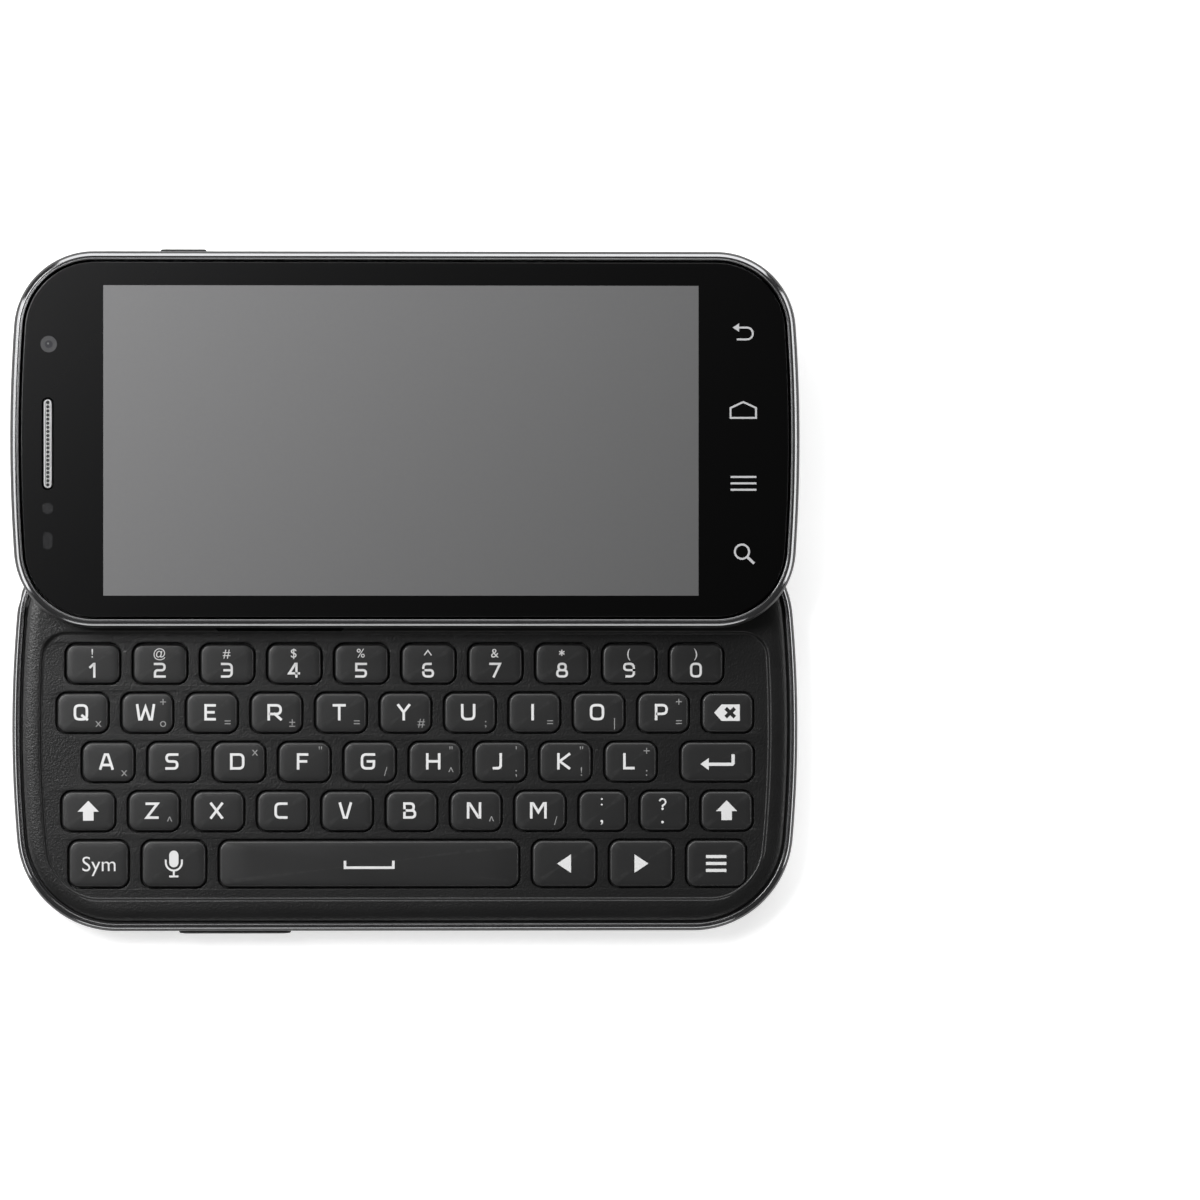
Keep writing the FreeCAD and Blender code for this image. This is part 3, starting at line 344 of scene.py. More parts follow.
def piece(name, shape, finishes, body, nodes=(), crease=32.0, cutters=(),
          flat_faces=False):
    """Turns a shape in millimetres into a finished object on a body, less its cutters.

    flat_faces keeps large flat faces flat in the shading beside their soft edges."""
    mesh = to_mesh(name, shape)
    for finish in finishes:
        mesh.materials.append(finish)
    obj = link(name, mesh)
    for cutter in cutters:
        tool = link("cutter", to_mesh("cutter", cutter))
        cut = obj.modifiers.new("cut", "BOOLEAN")
        cut.operation = "DIFFERENCE"
        cut.solver = "EXACT"
        cut.object = tool
        obj.data = applied(obj)
        bpy.data.objects.remove(tool)
    obj.data.shade_smooth()
    obj.data.set_sharp_from_angle(angle=math.radians(crease))
    if flat_faces:
        obj.modifiers.new("even shading", "WEIGHTED_NORMAL").keep_sharp = True
        obj.data = applied(obj)
    obj.data.name = name
    return dress(obj, body, nodes)


def dress(obj, body, nodes=()):
    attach(obj, body)
    if nodes:
        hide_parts(*nodes)
    return obj


# Node trees ------------------------------------------------------------------------------

class Wire:
    """Number from a node's socket; reckoning with it adds math nodes to its tree."""

    def __init__(self, socket):
        self.socket = socket

    def __add__(self, other):
        return calc("ADD", self, other)

    def __sub__(self, other):
        return calc("SUBTRACT", self, other)

    def __rsub__(self, other):
        return calc("SUBTRACT", other, self)

    def __mul__(self, other):
        return calc("MULTIPLY", self, other)

    def __truediv__(self, other):
        return calc("DIVIDE", self, other)

    def __floordiv__(self, other):
        return calc("FLOOR", self / other)

    def __mod__(self, other):
        return calc("MODULO", self, other)


def add(tree, kind, inputs=None, **settings):
    """Adds a node; inputs are linked from sockets and wires or set to values."""
    node = tree.nodes.new(kind)
    for key, value in settings.items():
        setattr(node, key, value)
    for key, value in (inputs or {}).items():
        value = getattr(value, "socket", value)
        if isinstance(value, bpy.types.NodeSocket):
            tree.links.new(value, node.inputs[key])
        else:
            node.inputs[key].default_value = value
    return node


def calc(operation, *values):
    """Wire from a math node on wires and numbers."""
    tree = next(value.socket.id_data for value in values if isinstance(value, Wire))
    return Wire(add(tree, "ShaderNodeMath", dict(enumerate(values)),
                    operation=operation).outputs[0])


def new_group(kind, name, inputs):
    """Node group with named inputs, each (socket type, default); returns it and their wires."""
    tree = bpy.data.node_groups.new(name, kind)
    for label, (socket, default) in inputs.items():
        item = tree.interface.new_socket(label, in_out="INPUT",
                                         socket_type="NodeSocket" + socket)
        if default is not None:
            item.default_value = default
    sockets = tree.nodes.new("NodeGroupInput").outputs
    return tree, {label: Wire(sockets[label]) for label in inputs}


def close_group(tree, outputs, kind="Float"):
    """Gives a group its named outputs."""
    for label in outputs:
        tree.interface.new_socket(label, in_out="OUTPUT", socket_type="NodeSocket" + kind)
    add(tree, "NodeGroupOutput", outputs)
    return tree


def made_once(name):
    """Makes a node group on first use and finds it again afterwards."""
    def wrap(build):
        return lambda: bpy.data.node_groups.get(name) or build(name)
    return wrap


def grown(name, tree, values):
    """Mesh that a geometry tree makes from these input values."""
    obj = link(name, bpy.data.meshes.new(name))
    modifier = obj.modifiers.new("grow", "NODES")
    modifier.node_group = tree
    for item in tree.interface.items_tree:
        if item.in_out == "INPUT" and item.name in values:
            modifier[item.identifier] = values[item.name]
    mesh = applied(obj)
    bpy.data.objects.remove(obj)
    mesh.name = name
    return mesh


def perforated(name, body, columns, rows, pitch, hole_radius, place, finish):
    """Perforated strip about a place, put on a body."""
    values = {"Columns": columns, "Rows": rows, "Pitch": pitch * MM, "Hole": hole_radius * MM,
              "Thickness": STRIP_THICKNESS * MM, "Place": tuple(MM * c for c in place),
              "Finish": finish}
    dress(link(name, grown(name, mesh_strip_tree(), values)), body)


def welded(tree, geometry):
    return add(tree, "GeometryNodeMergeByDistance",
               {"Geometry": geometry, "Distance": 1e-6}).outputs[0]


def close_shape(tree, geometry, finish):
    """Ends a geometry tree with real, finished faces."""
    whole = add(tree, "GeometryNodeRealizeInstances", {"Geometry": geometry})
    finished = add(tree, "GeometryNodeSetMaterial",
                   {"Geometry": whole.outputs[0], "Material": finish})
    return close_group(tree, {"Geometry": finished.outputs[0]}, "Geometry")


@made_once("keycap")
def keycap_tree(name):
    """Keycap grown from a grid: its columns run round the cap and its rows up and over it."""
    floats = {"Centre X": 0.0, "Centre Y": 0.0, "Width": 0.01, "Height": 0.006, "Bottom": 0.006,
              "Top": 0.007, "Corner": 0.0015, "Fillet": 0.0004, "Crown": 0.0001}
    inputs = {label: ("Float", default) for label, default in floats.items()}
    inputs["Finish"] = ("Material", None)
    tree, given = new_group("GeometryNodeTree", name, inputs)
    corner_steps, fillet_steps, crown_steps = 7, 5, 5
    rows = 3 + fillet_steps + crown_steps
    quadrant_stations = corner_steps + 1
    stations = 4 * quadrant_stations
    grid = add(tree, "GeometryNodeMeshGrid", {"Vertices X": stations + 1, "Vertices Y": rows})
    index = Wire(add(tree, "GeometryNodeInputIndex").outputs[0])
    column, row = index // rows % stations, index % rows
    quadrant = column // quadrant_stations
    angle = (quadrant + column % quadrant_stations / corner_steps) * QUARTER
    corner_angle = quadrant * QUARTER + QUARTER / 2
    over_edge = calc("MINIMUM", calc("MAXIMUM", row - 2, 0), fillet_steps)
    turn_over = over_edge * (QUARTER / fillet_steps)
    inset = given["Fillet"] * (1 - calc("COSINE", turn_over))
    shrink = (calc("MINIMUM", row, 1)
              * calc("MINIMUM", (rows - 1 - row) / crown_steps, 1))
    spots = []
    for turn, span, centre in (("COSINE", "Width", "Centre X"), ("SINE", "Height", "Centre Y")):
        side = calc("SIGN", calc(turn, corner_angle))
        edge = side * (given[span] * 0.5 - given["Corner"])
        reach = (given["Corner"] - inset) * calc(turn, angle)
        spots.append((edge + reach) * shrink + given[centre])
    dome = given["Crown"] * (1 - shrink * shrink)
    top = given["Top"] + given["Fillet"] * (calc("SINE", turn_over) - 1) + dome
    is_low = calc("LESS_THAN", row, 1.5)
    height = is_low * given["Bottom"] + (1 - is_low) * top
    place = add(tree, "ShaderNodeCombineXYZ", {0: spots[0], 1: spots[1], 2: height})
    cap = add(tree, "GeometryNodeSetPosition",
              {"Geometry": grid.outputs["Mesh"], "Position": place.outputs[0]})
    return close_shape(tree, welded(tree, cap.outputs[0]), given["Finish"])


@made_once("perforated strip")
def mesh_strip_tree(name):
    """Perforated sheet: one square cell with a hole, repeated in rows and given a thickness."""
    tree, given = new_group("GeometryNodeTree", name, {
        "Columns": ("Int", 3), "Rows": ("Int", 10), "Pitch": ("Float", 0.0005),
        "Hole": ("Float", 0.00018), "Thickness": ("Float", 0.0002),
        "Place": ("Vector", (0, 0, 0)), "Finish": ("Material", None)})
    cell_sides = 8
    grid = add(tree, "GeometryNodeMeshGrid", {"Vertices X": cell_sides + 1, "Vertices Y": 2})
    index = Wire(add(tree, "GeometryNodeInputIndex").outputs[0])
    angle = index // 2 * (4 * QUARTER / cell_sides)
    is_hole = index % 2
    cosine, sine = calc("COSINE", angle), calc("SINE", angle)
    square = given["Pitch"] * 0.5 / calc("MAXIMUM", calc("ABSOLUTE", cosine),
                                         calc("ABSOLUTE", sine))
    reach = is_hole * given["Hole"] + (1 - is_hole) * square
    place = add(tree, "ShaderNodeCombineXYZ", {0: cosine * reach, 1: sine * reach})
    cell = add(tree, "GeometryNodeSetPosition",
               {"Geometry": grid.outputs["Mesh"], "Position": place.outputs[0]})
    spread = add(tree, "GeometryNodeMeshGrid", {
        "Size X": given["Pitch"] * (given["Columns"] - 1), "Vertices X": given["Columns"],
        "Size Y": given["Pitch"] * (given["Rows"] - 1), "Vertices Y": given["Rows"]})
    cells = add(tree, "GeometryNodeInstanceOnPoints",
                {"Points": spread.outputs["Mesh"], "Instance": cell.outputs[0]})
    sheet = add(tree, "GeometryNodeRealizeInstances", {"Geometry": cells.outputs[0]})
    sheet = welded(tree, sheet.outputs[0])
    thick = add(tree, "GeometryNodeExtrudeMesh", {
        "Mesh": sheet, "Offset Scale": given["Thickness"], "Individual": False})
    under = add(tree, "GeometryNodeFlipFaces", {"Mesh": sheet})
    both = add(tree, "GeometryNodeJoinGeometry")
    for part in (thick, under):
        tree.links.new(part.outputs[0], both.inputs[0])
    there = add(tree, "GeometryNodeTransform", {"Geometry": welded(tree, both.outputs[0]),
                                                "Translation": given["Place"]})
    return close_shape(tree, there.outputs[0], given["Finish"])


# Finishes --------------------------------------------------------------------------------

def noise(tree, place, scale, detail, roughness=0.5, distortion=0.0):
    return Wire(add(tree, "ShaderNodeTexNoise", {
        "Vector": place, "Scale": scale, "Detail": detail, "Roughness": roughness,
        "Distortion": distortion}).outputs[0])


@made_once("moulded grain")
def grain_group(name):
    """Moulded grain: a fine height, and a slow change over the surface."""
    tree, given = new_group("ShaderNodeTree", name, {
        "Place": ("Vector", (0, 0, 0)), "Size": ("Float", 0.2), "Patch Size": ("Float", 14.0)})
    cells = add(tree, "ShaderNodeTexVoronoi", {"Vector": given["Place"],
                                               "Scale": calc("DIVIDE", 1.0, given["Size"])})
    dust = noise(tree, given["Place"], calc("DIVIDE", 0.6, given["Size"]), 3.0, 0.6)
    patches = noise(tree, given["Place"], calc("DIVIDE", 1.0, given["Patch Size"]), 4.0, 0.55)
    height = Wire(cells.outputs["Distance"]) * 0.6 + dust
    return close_group(tree, {"Height": height, "Patches": patches})


@made_once("handling marks")
def handling_group(name):
    """Roughness with wiped streaks and faint smudges."""
    tree, given = new_group("ShaderNodeTree", name, {
        "Place": ("Vector", (0, 0, 0)), "Roughness": ("Float", 0.3), "Change": ("Float", 0.08)})
    stretch = add(tree, "ShaderNodeVectorMath", {0: given["Place"], 1: (0.05, 0.35, 0.35)},
                  operation="MULTIPLY")
    streaks = noise(tree, stretch.outputs[0], 1.0, 5.0, distortion=0.4)
    smudges = noise(tree, given["Place"], 0.09, 6.0, 0.65)
    roughness = given["Roughness"] + (streaks + smudges - 1.0) * given["Change"]
    return close_group(tree, {"Roughness": roughness})


@made_once("diagonal weave")
def weave_group(name):
    """Woven texture: two sets of diagonal ribs that cross."""
    tree, given = new_group("ShaderNodeTree", name, {
        "Place": ("Vector", (0, 0, 0)), "Pitch": ("Float", 0.7)})
    axes = add(tree, "ShaderNodeSeparateXYZ", {0: given["Place"]}).outputs
    turn = calc("DIVIDE", math.pi * math.sqrt(0.5), given["Pitch"])
    rising = calc("ABSOLUTE", calc("SINE", (Wire(axes[0]) + axes[1]) * turn))
    falling = calc("ABSOLUTE", calc("SINE", (Wire(axes[0]) - axes[1]) * turn))
    return close_group(tree, {"Height": calc("POWER", rising * falling, 0.6)})


@made_once("edge wear")
def wear_group(name):
    """Mask of handled edges: outward edges, broken up by noise."""
    tree, given = new_group("ShaderNodeTree", name, {
        "Place": ("Vector", (0, 0, 0)), "Amount": ("Float", 0.3)})
    edges = add(tree, "ShaderNodeNewGeometry").outputs["Pointiness"]
    chips = noise(tree, given["Place"], 0.8, 6.0, 0.7)
    mask = given["Amount"]
    for value, low, high in ((edges, 0.52, 0.62), (chips, 0.4, 0.7)):
        mask = mask * Wire(add(tree, "ShaderNodeMapRange", {
            "Value": value, "From Min": low, "From Max": high}).outputs[0])
    return close_group(tree, {"Mask": mask})


def effect(tree, group, inputs):
    """Adds a shared effect; returns its outputs as wires."""
    node = add(tree, "ShaderNodeGroup", inputs, node_tree=group)
    return {socket.name: Wire(socket) for socket in node.outputs}


def start_finish(name, metallic=0.0, coat=0.0, coat_roughness=0.05, specular=0.5):
    """New material with its place in millimetres; returns it, its tree, place and shader."""
    material = bpy.data.materials.new(name)
    material.use_nodes = True
    tree = material.node_tree
    shader = tree.nodes["Principled BSDF"]
    for label, value in (("Metallic", metallic), ("Coat Weight", coat),
                         ("Coat Roughness", coat_roughness), ("Specular IOR Level", specular)):
        shader.inputs[label].default_value = value
    spot = add(tree, "ShaderNodeTexCoord").outputs["Object"]
    place = add(tree, "ShaderNodeMapping", {"Vector": spot, "Scale": (1 / MM,) * 3}).outputs[0]
    return material, tree, place, shader


def shaded(tree, shade, strength):
    """A colour times a number."""
    if not isinstance(shade, bpy.types.NodeSocket):
        shade = (*shade, 1.0)
    grey = add(tree, "ShaderNodeCombineColor", {0: strength, 1: strength, 2: strength})
    return add(tree, "ShaderNodeMix", {0: 1.0, 6: shade, 7: grey.outputs[0]}, data_type="RGBA",
               blend_type="MULTIPLY").outputs[2]


def tinted(tree, shade, factor, spread):
    """A colour made lighter and darker by a 0 to 1 factor, by spread at most."""
    return shaded(tree, shade, factor * (2 * spread) + (1 - spread))


def handled(tree, place, shader, roughness, change):
    """Gives a shader a roughness with handling marks."""
    marks = effect(tree, handling_group(), {"Place": place, "Roughness": roughness,
                                            "Change": change})
    tree.links.new(marks["Roughness"].socket, shader.inputs["Roughness"])


def surface(name, shade, roughness, grain=0.2, bump=0.1, change=0.06, spread=0.12, wear=0.0,
            worn=0.12, weave=0.0, **shader_settings):
    """Solid finish: tinted colour, handled roughness, moulded grain, worn edges or a weave."""
    if name in bpy.data.materials:
        return bpy.data.materials[name]
    material, tree, place, shader = start_finish(name, **shader_settings)
    handled(tree, place, shader, roughness, change)
    grains = effect(tree, grain_group(), {"Place": place, "Size": grain})
    height, depth = grains["Height"], grain * MM * 0.5
    if weave:
        threads = effect(tree, weave_group(), {"Place": place, "Pitch": weave})["Height"]
        shade = tinted(tree, shade, threads, 0.35)
        height, depth = height * 0.12 + threads, weave * MM * 0.145
    paint = tinted(tree, shade, grains["Patches"], spread)
    if wear:
        mask = effect(tree, wear_group(), {"Place": place, "Amount": wear})["Mask"]
        paint = add(tree, "ShaderNodeMix", {0: mask, 6: paint, 7: (worn, worn, worn, 1.0)},
                    data_type="RGBA").outputs[2]
    tree.links.new(paint, shader.inputs["Base Color"])
    relief = add(tree, "ShaderNodeBump", {"Height": height, "Strength": bump, "Distance": depth})
    tree.links.new(relief.outputs[0], shader.inputs["Normal"])
    return material


def sheen_painted_glass(name, shade, spread, painted_fade):
    """Glass over a dark print, with a painted sheen: its colour grows darker down and along it, by
    painted_fade for each millimetre, in place of the light that falls from the upper left.
    """
    if name in bpy.data.materials:
        return bpy.data.materials[name]
    material, tree, place, shader = start_finish(name)
    axes = add(tree, "ShaderNodeSeparateXYZ", {0: place}).outputs
    # painted sheen: the colour is lightest at the upper left and fades down and to the right, as the
    # light falls
    along = Wire(axes[0]) - (Wire(axes[1]) - DISPLAY_Y) * 0.9
    base = shaded(tree, shade, calc("POWER", math.e, along * -painted_fade))
    cells = noise(tree, place, 1.6, 5.0, 0.7)
    tree.links.new(tinted(tree, base, cells, spread), shader.inputs["Base Color"])
    handled(tree, place, shader, 0.07, 0.03)
    return material


def rim_finishes():
    """Polished crest and plain side of a rim; the side is made darker than its real grey, as painted
    shade of the side wall.
    """
    return [surface("polished rim", colours().rim, 0.12, grain=0.1, bump=0.01, change=0.04,
                    spread=0.08, metallic=0.85, coat=0.8),
            surface("rim side plastic", (0.020, 0.020, 0.0205), 0.38, grain=0.12, bump=0.12,
                    spread=0.15, specular=0.3)]


def button_finish():
    return surface("button plastic", (0.02, 0.02, 0.0205), 0.35, grain=0.1, bump=0.06,
                   specular=0.2)


def keycap_finish():
    return surface("keycap plastic", colours().keycap, 0.40, grain=0.12, change=0.07,
                   spread=0.14, wear=0.12, coat=0.15, coat_roughness=0.3)


def metal(name, shade, roughness):
    return surface(name, shade, roughness, grain=0.15, bump=0.06, change=0.12, metallic=1.0)


# Keyboard half ---------------------------------------------------------------------------

KEY_NODES = [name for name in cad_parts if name.startswith("key_") and name != "key_mat"]
NUMBER_KEYS, NUMBER_GAP = 10, 2.2
DECK_EDGE_GAP = 0.12
WELL_INSET, WELL_NEAR_INSET = 4.8, 5.35
WELL_TOP_Y = BEZEL_LOW.y - 1.0
WELL_FLOOR = DECK_TOP - 0.4
WELL_CORNER, WELL_LOWER_CORNER = 3.8, 8.6
OPENING_CORNER = 1.85
DECK_EDGE_RUN, DECK_EDGE_DROP = 2.5, 0.65
# Corners of a flat dark tile on the deck below the display's edge: a painted shadow of a slot there
DECK_SLOT_SHADOW_TILE = [(-31.0, 16.3), (-30.2, 15.5), (-10.4, 15.5), (-9.6, 16.3)]
SHELF_WIDTH, SHELF_Z = 2.6, 6.3
RIM_PLAY = 0.22                   # gap between a rim and the panel inside it
CREST_DEPTH = 0.34                # height of a rim's polished top
SLOPE = math.tan(math.radians(25))

# Openings in the short and long sides: centre and size across and up, corner radius
CHARGING_SOCKET = (0.0, 3.2, 8.0, 2.7, 0.9)
HEADPHONE_SOCKET = (20.5, 4.55, 4.1, 4.1, 2.05)
PRY_NOTCH = (33.2, 2.4, 1.2, 0.7, 0.3)
PRY_NOTCH_X = (-42.7, -41.1)
ROCKER_X, ROCKER_Z = -27.55, 4.7
ROCKER_WIDTH, ROCKER_HEIGHT = 18.1, 2.6
BUTTON_PLAY = 0.25
INLAY_LOW, INLAY_HIGH, INLAY_REACH, INLAY_SLANT = 2.75, 4.9, 9.65, 0.8


def key_cells(node):
    """Centre, width, height, bottom and top of each cap in a node."""
    low, high = limits(node)
    count = NUMBER_KEYS if node == "number_keys" else 1
    width = (high.x - low.x - NUMBER_GAP * (count - 1)) / count
    return [(low.x + width / 2 + i * (width + NUMBER_GAP), (low.y + high.y) / 2, width,
             high.y - low.y, low.z, high.z) for i in range(count)]


def crest(width, high):
    """Top of a rim from outside to inside: a bright slope, a shallow valley and a thin ridge."""
    flank, valley = 0.34, width - 0.56
    foot = high - 0.37
    floor = foot + SLOPE * (valley - flank)
    return [(0.0, high - 1.05, 0.3), (flank, foot, 0.08), (valley, floor, 0.07),
            (width - 0.27, floor - 0.02, 0.05), (width - 0.13, high, 0.06),
            (width, high - 0.06, 0.05)]


def paint_side_shade_below(rim, z):
    """Gives the faces of a rim below its crest the second finish, whose dark colour paints the side
    wall's shade.
    """
    for face in rim.data.polygons:
        if face.center.z < z * MM:
            face.material_index = 1


def shoulder(inset, run, edge_z, drop, steps=14):
    """Quarter of an ellipse from an upright edge to a flat face, as (inset, z) points."""
    angles = [QUARTER * step / steps for step in range(steps + 1)]
    return [(inset + run * (1 - math.cos(angle)), edge_z - drop * math.sin(angle))
            for angle in angles]


def side_strip(inset, depth, margin):
    """Strip in the left short side, its ends slanted over its height."""
    shape = bmesh.new()
    a, side_r = BASE[0], BASE[2]
    count = 16
    rows = []
    foot = INLAY_REACH + INLAY_SLANT - margin / 2
    edges = ((INLAY_LOW + margin, foot), (INLAY_HIGH - margin, INLAY_REACH))
    for radius in (side_r - inset, side_r - inset - depth):
        for z, reach in edges:
            ys = [(reach - 2 * margin) * (2 * i / count - 1) for i in range(count + 1)]
            rows.append([shape.verts.new((side_r - a - math.sqrt(radius ** 2 - y ** 2), y, z))
                         for y in ys])
    order = [rows[index] for index in (0, 1, 3, 2)]
    for first, second in zip(order, order[1:] + order[:1]):
        for i in range(count):
            shape.faces.new((first[i], first[i + 1], second[i + 1], second[i]))
    for end in (0, count):
        shape.faces.new([row[end] for row in order])
    return shape


def end_opening(x0, x1, opening, steps=8):
    return prism(places(rounded_rectangle(*opening, steps)), (x0, x1), 0)


class PHONE_OT_keyboard_rim(bpy.types.Operator):
    """Rim of the keyboard half, with its socket openings and the inlay in its left end"""
    bl_idname = "phone.keyboard_rim"
    bl_label = "Keyboard Rim"

    def execute(self, context):
        shape = bmesh.new()
        width, low, beyond = size("rim_width") - RIM_PLAY, BASE_LOW.z, BASE_HIGH.x + 1.5
        section = softened([(SHELF_WIDTH, low, 0), (0.0, low, 0.6)] + crest(width, DECK_TOP)
                           + [(width, SHELF_Z, 0), (SHELF_WIDTH, SHELF_Z, 0)])
        wall(shape, bowed_outline(BASE), section, closed=True)
        reach_x, reach_z = ROCKER_WIDTH / 2 + BUTTON_PLAY, ROCKER_HEIGHT / 2 + BUTTON_PLAY
        rocker = rectangle(ROCKER_X - reach_x, ROCKER_X + reach_x, ROCKER_Z - reach_z,
                           ROCKER_Z + reach_z)
        cutters = [end_opening(beyond - 10, beyond, CHARGING_SOCKET),
                   end_opening(-beyond, 10 - beyond, HEADPHONE_SOCKET, 12),
                   prism(rocker, (BASE_LOW.y - 1.6, BASE_LOW.y + 5.4), 1),
                   side_strip(-1.0, 1.3, 0.0),
                   end_opening(*PRY_NOTCH_X, PRY_NOTCH)]
        rim = piece("keyboard_rim", shape, rim_finishes(), "keyboard_half",
                    ["base_frame"], cutters=cutters)
        # the rim below its crest takes the darker side colour: painted shade of the side wall
        paint_side_shade_below(rim, DECK_TOP - CREST_DEPTH)
        inlay = surface("inlay plastic", (0.02, 0.02, 0.021), 0.28, coat=0.3)
        piece("rim_inlay", side_strip(0.12, 0.5, 0.1), [inlay], "keyboard_half")
        return {"FINISHED"}


class PHONE_OT_keyboard_deck(bpy.types.Operator):
    """Deck round the keys, with its sunk panel and one opening for each key"""
    bl_idname = "phone.keyboard_deck"
    bl_label = "Keyboard Deck"

    def execute(self, context):
        shape = bmesh.new()
        bottom = limits("keyboard_deck")[1].z - 1.0
        inset = size("rim_width") + DECK_EDGE_GAP
        side = [(inset, bottom)] + shoulder(inset, DECK_EDGE_RUN, DECK_TOP - DECK_EDGE_DROP,
                                            -DECK_EDGE_DROP, 10)
        outer_low, outer_high = wall(shape, bowed_outline(BASE), side)
        lip = softened([(1.2, DECK_TOP, 0), (0.42, DECK_TOP, 0.16), (0.02, WELL_FLOOR, 0.16),
                        (-1.0, WELL_FLOOR, 0)], 5)[1:-1]
        a, b, *rest = BASE
        well = bowed_outline((a, b - WELL_NEAR_INSET + WELL_INSET, *rest), WELL_INSET,
                             WELL_LOWER_CORNER, WELL_TOP_Y, WELL_CORNER)
        well_high, well_low = wall(shape, hole(well), lip)
        fill(shape, [outer_high, well_high])
        edge = softened([(0.4, WELL_FLOOR, 0), (0, WELL_FLOOR, 0.1), (0, bottom, 0)], 3)[1:]
        rims, feet = [well_low], [outer_low]
        gap = 2 * size("key_gap")
        for node in KEY_NODES + ["number_keys"]:
            for x, y, width, height, *_ in key_cells(node):
                path = rounded_rectangle(x, y, width + gap, height + gap, OPENING_CORNER, 7)
                rim, foot = wall(shape, hole(path), edge)
                rims.append(rim)
                feet.append(foot)
        fill(shape, rims)
        fill(shape, feet)
        plastic = surface("deck plastic", colours().deck, 0.36, grain=size("grain_size"),
                          bump=0.2, change=0.08, spread=0.16)
        piece("deck_panel", shape, [plastic], "keyboard_half", ["keyboard_deck"],
              flat_faces=True)
        # a flat near-black tile stands in for the shade of the slot under the display's edge: a
        # painted shadow
        slot = bmesh.new()
        tile(slot, [DECK_SLOT_SHADOW_TILE], DECK_TOP - 0.05, DECK_TOP + 0.02)
        shadow = surface("slot shadow", (0.001, 0.001, 0.001), 0.6, specular=0.05)
        piece("deck_slot", slot, [shadow], "keyboard_half")
        return {"FINISHED"}


class PHONE_OT_keycaps(bpy.types.Operator):
    """Keycaps: one piece for each key, and the number row as one"""
    bl_idname = "phone.keycaps"
    bl_label = "Keycaps"

    def execute(self, context):
        for node in KEY_NODES:
            self.caps("cap_" + node[4:], node)
        self.caps("caps_numbers", "number_keys")
        return {"FINISHED"}

    def caps(self, name, node):
        shape = bmesh.new()
        for x, y, width, height, low, high in key_cells(node):
            values = {"Centre X": x, "Centre Y": y, "Width": width, "Height": height,
                      "Bottom": low, "Top": high, "Corner": size("key_corner"),
                      "Fillet": size("key_fillet"), "Crown": size("key_crown")}
            values = {label: value * MM for label, value in values.items()}
            cap = grown("cap", keycap_tree(), {**values, "Finish": keycap_finish()})
            shape.from_mesh(cap)
            bpy.data.meshes.remove(cap)
        mesh = bpy.data.meshes.new(name)
        shape.to_mesh(mesh)
        shape.free()
        mesh.materials.append(keycap_finish())
        mesh.shade_smooth()
        dress(link(name, mesh), node, [node])


# Key legends -----------------------------------------------------------------------------

LETTER_STROKE, LETTER_CORNER, LETTER_WIDTH = 0.155, 0.27, 0.80    # shares of a letter's height
CAPITAL_HEIGHT = 0.729           # of the built-in font
SIGN_DEPTH, SIGN_RISE = 0.06, 0.015
LAYER = 0.002                    # crossing strokes lie this far apart in height

# Places of the signs from a key's middle
LETTER_PLACE = (-0.28, 0.1)
DIGIT_PLACE, DIGIT_SIGN_PLACE = (-0.05, -2.25), (-0.1, 1.0)
SECOND_SIGN_SHARE, SECOND_SIGN_UP = 0.31, (-2.25, 1.05)      # across by a share of the width
SMALL_SIGN_HEIGHT = 1.5

# Strokes of the key letters on a grid of columns a to i and rows 0 to 8. A capital column
# letter is a rounded corner, and a star closes the stroke.
GLYPHS = {
    "A": "a0 d8 f8 i0|b2 h2", "B": "a0 a8 H8 H4 a4|a4 I4 I0 a0", "C": "i8 A8 A0 i0",
    "D": "a0 a8 I8 I0*", "E": "i8 a8 a0 i0|a4 h4", "F": "i8 a8 a0|a4 h4",
    "G": "i8 A8 A0 I0 i4 e4", "H": "a0 a8|i0 i8|a4 i4", "I": "e0 e8", "J": "g8 G0 a0",
    "K": "a0 a8|i8 b4 i0|a4 b4", "L": "a8 a0 i0", "M": "a0 a8 b8 e3 h8 i8 i0",
    "N": "a0 a8 b8 h0 i0 i8", "O": "A0 A8 I8 I0*", "P": "a0 a8 I8 I3 b3",
    "Q": "A0 A8 I8 I0*|f2 i0", "R": "a0 a8 I8 I3 b3|e3 i0", "S": "i8 A8 A4 I4 I0 a0",
    "T": "a8 i8|e8 e0", "U": "a8 A0 I0 i8", "V": "a8 d0 f0 i8", "W": "a8 b0 c0 e7 g0 h0 i8",
    "X": "a0 i8|a8 i0", "Y": "a8 e4 i8|e4 e0", "Z": "a8 i8 a0 i0",
    "0": "A0 A8 I8 I0*", "1": "a6 g8 h8 h0", "2": "a8 I8 I4 A4 a0 i0", "3": "a8 I8 I0 a0|c4 i4",
    "4": "g0 g8 f8 a2 i2", "5": "i8 a8 a4 I4 I0 a0", "6": "g8 A8 A0 I0 I4 a4", "7": "a8 i8 d0",
    "8": "B8 B4 H4 H8*|A0 A4 I4 I0*", "9": "c0 I0 I8 A8 A4 i4"}
GLYPH_WIDTHS = ((0.46, "1"), (0.70, "EFLJ"), (0.88, "AQODGNUHR"), (1.02, "M"), (1.16, "W"))
DIGITS, DIGIT_SIGNS = "1234567890", "!@#$%^&*()"

# Second signs of letter keys: lower right, then upper right
SECOND_SIGNS = {"q": "x", "w": "o+", "e": "=", "r": "±", "t": "=", "y": "#", "u": ";", "i": "=",
                "o": "|", "p": "=+", "a": "x", "d": " x", "f": " \"", "g": "/", "h": "^\"",
                "j": ";'", "k": "!\"", "l": ":+", "z": "^", "n": "^", "m": "/"}
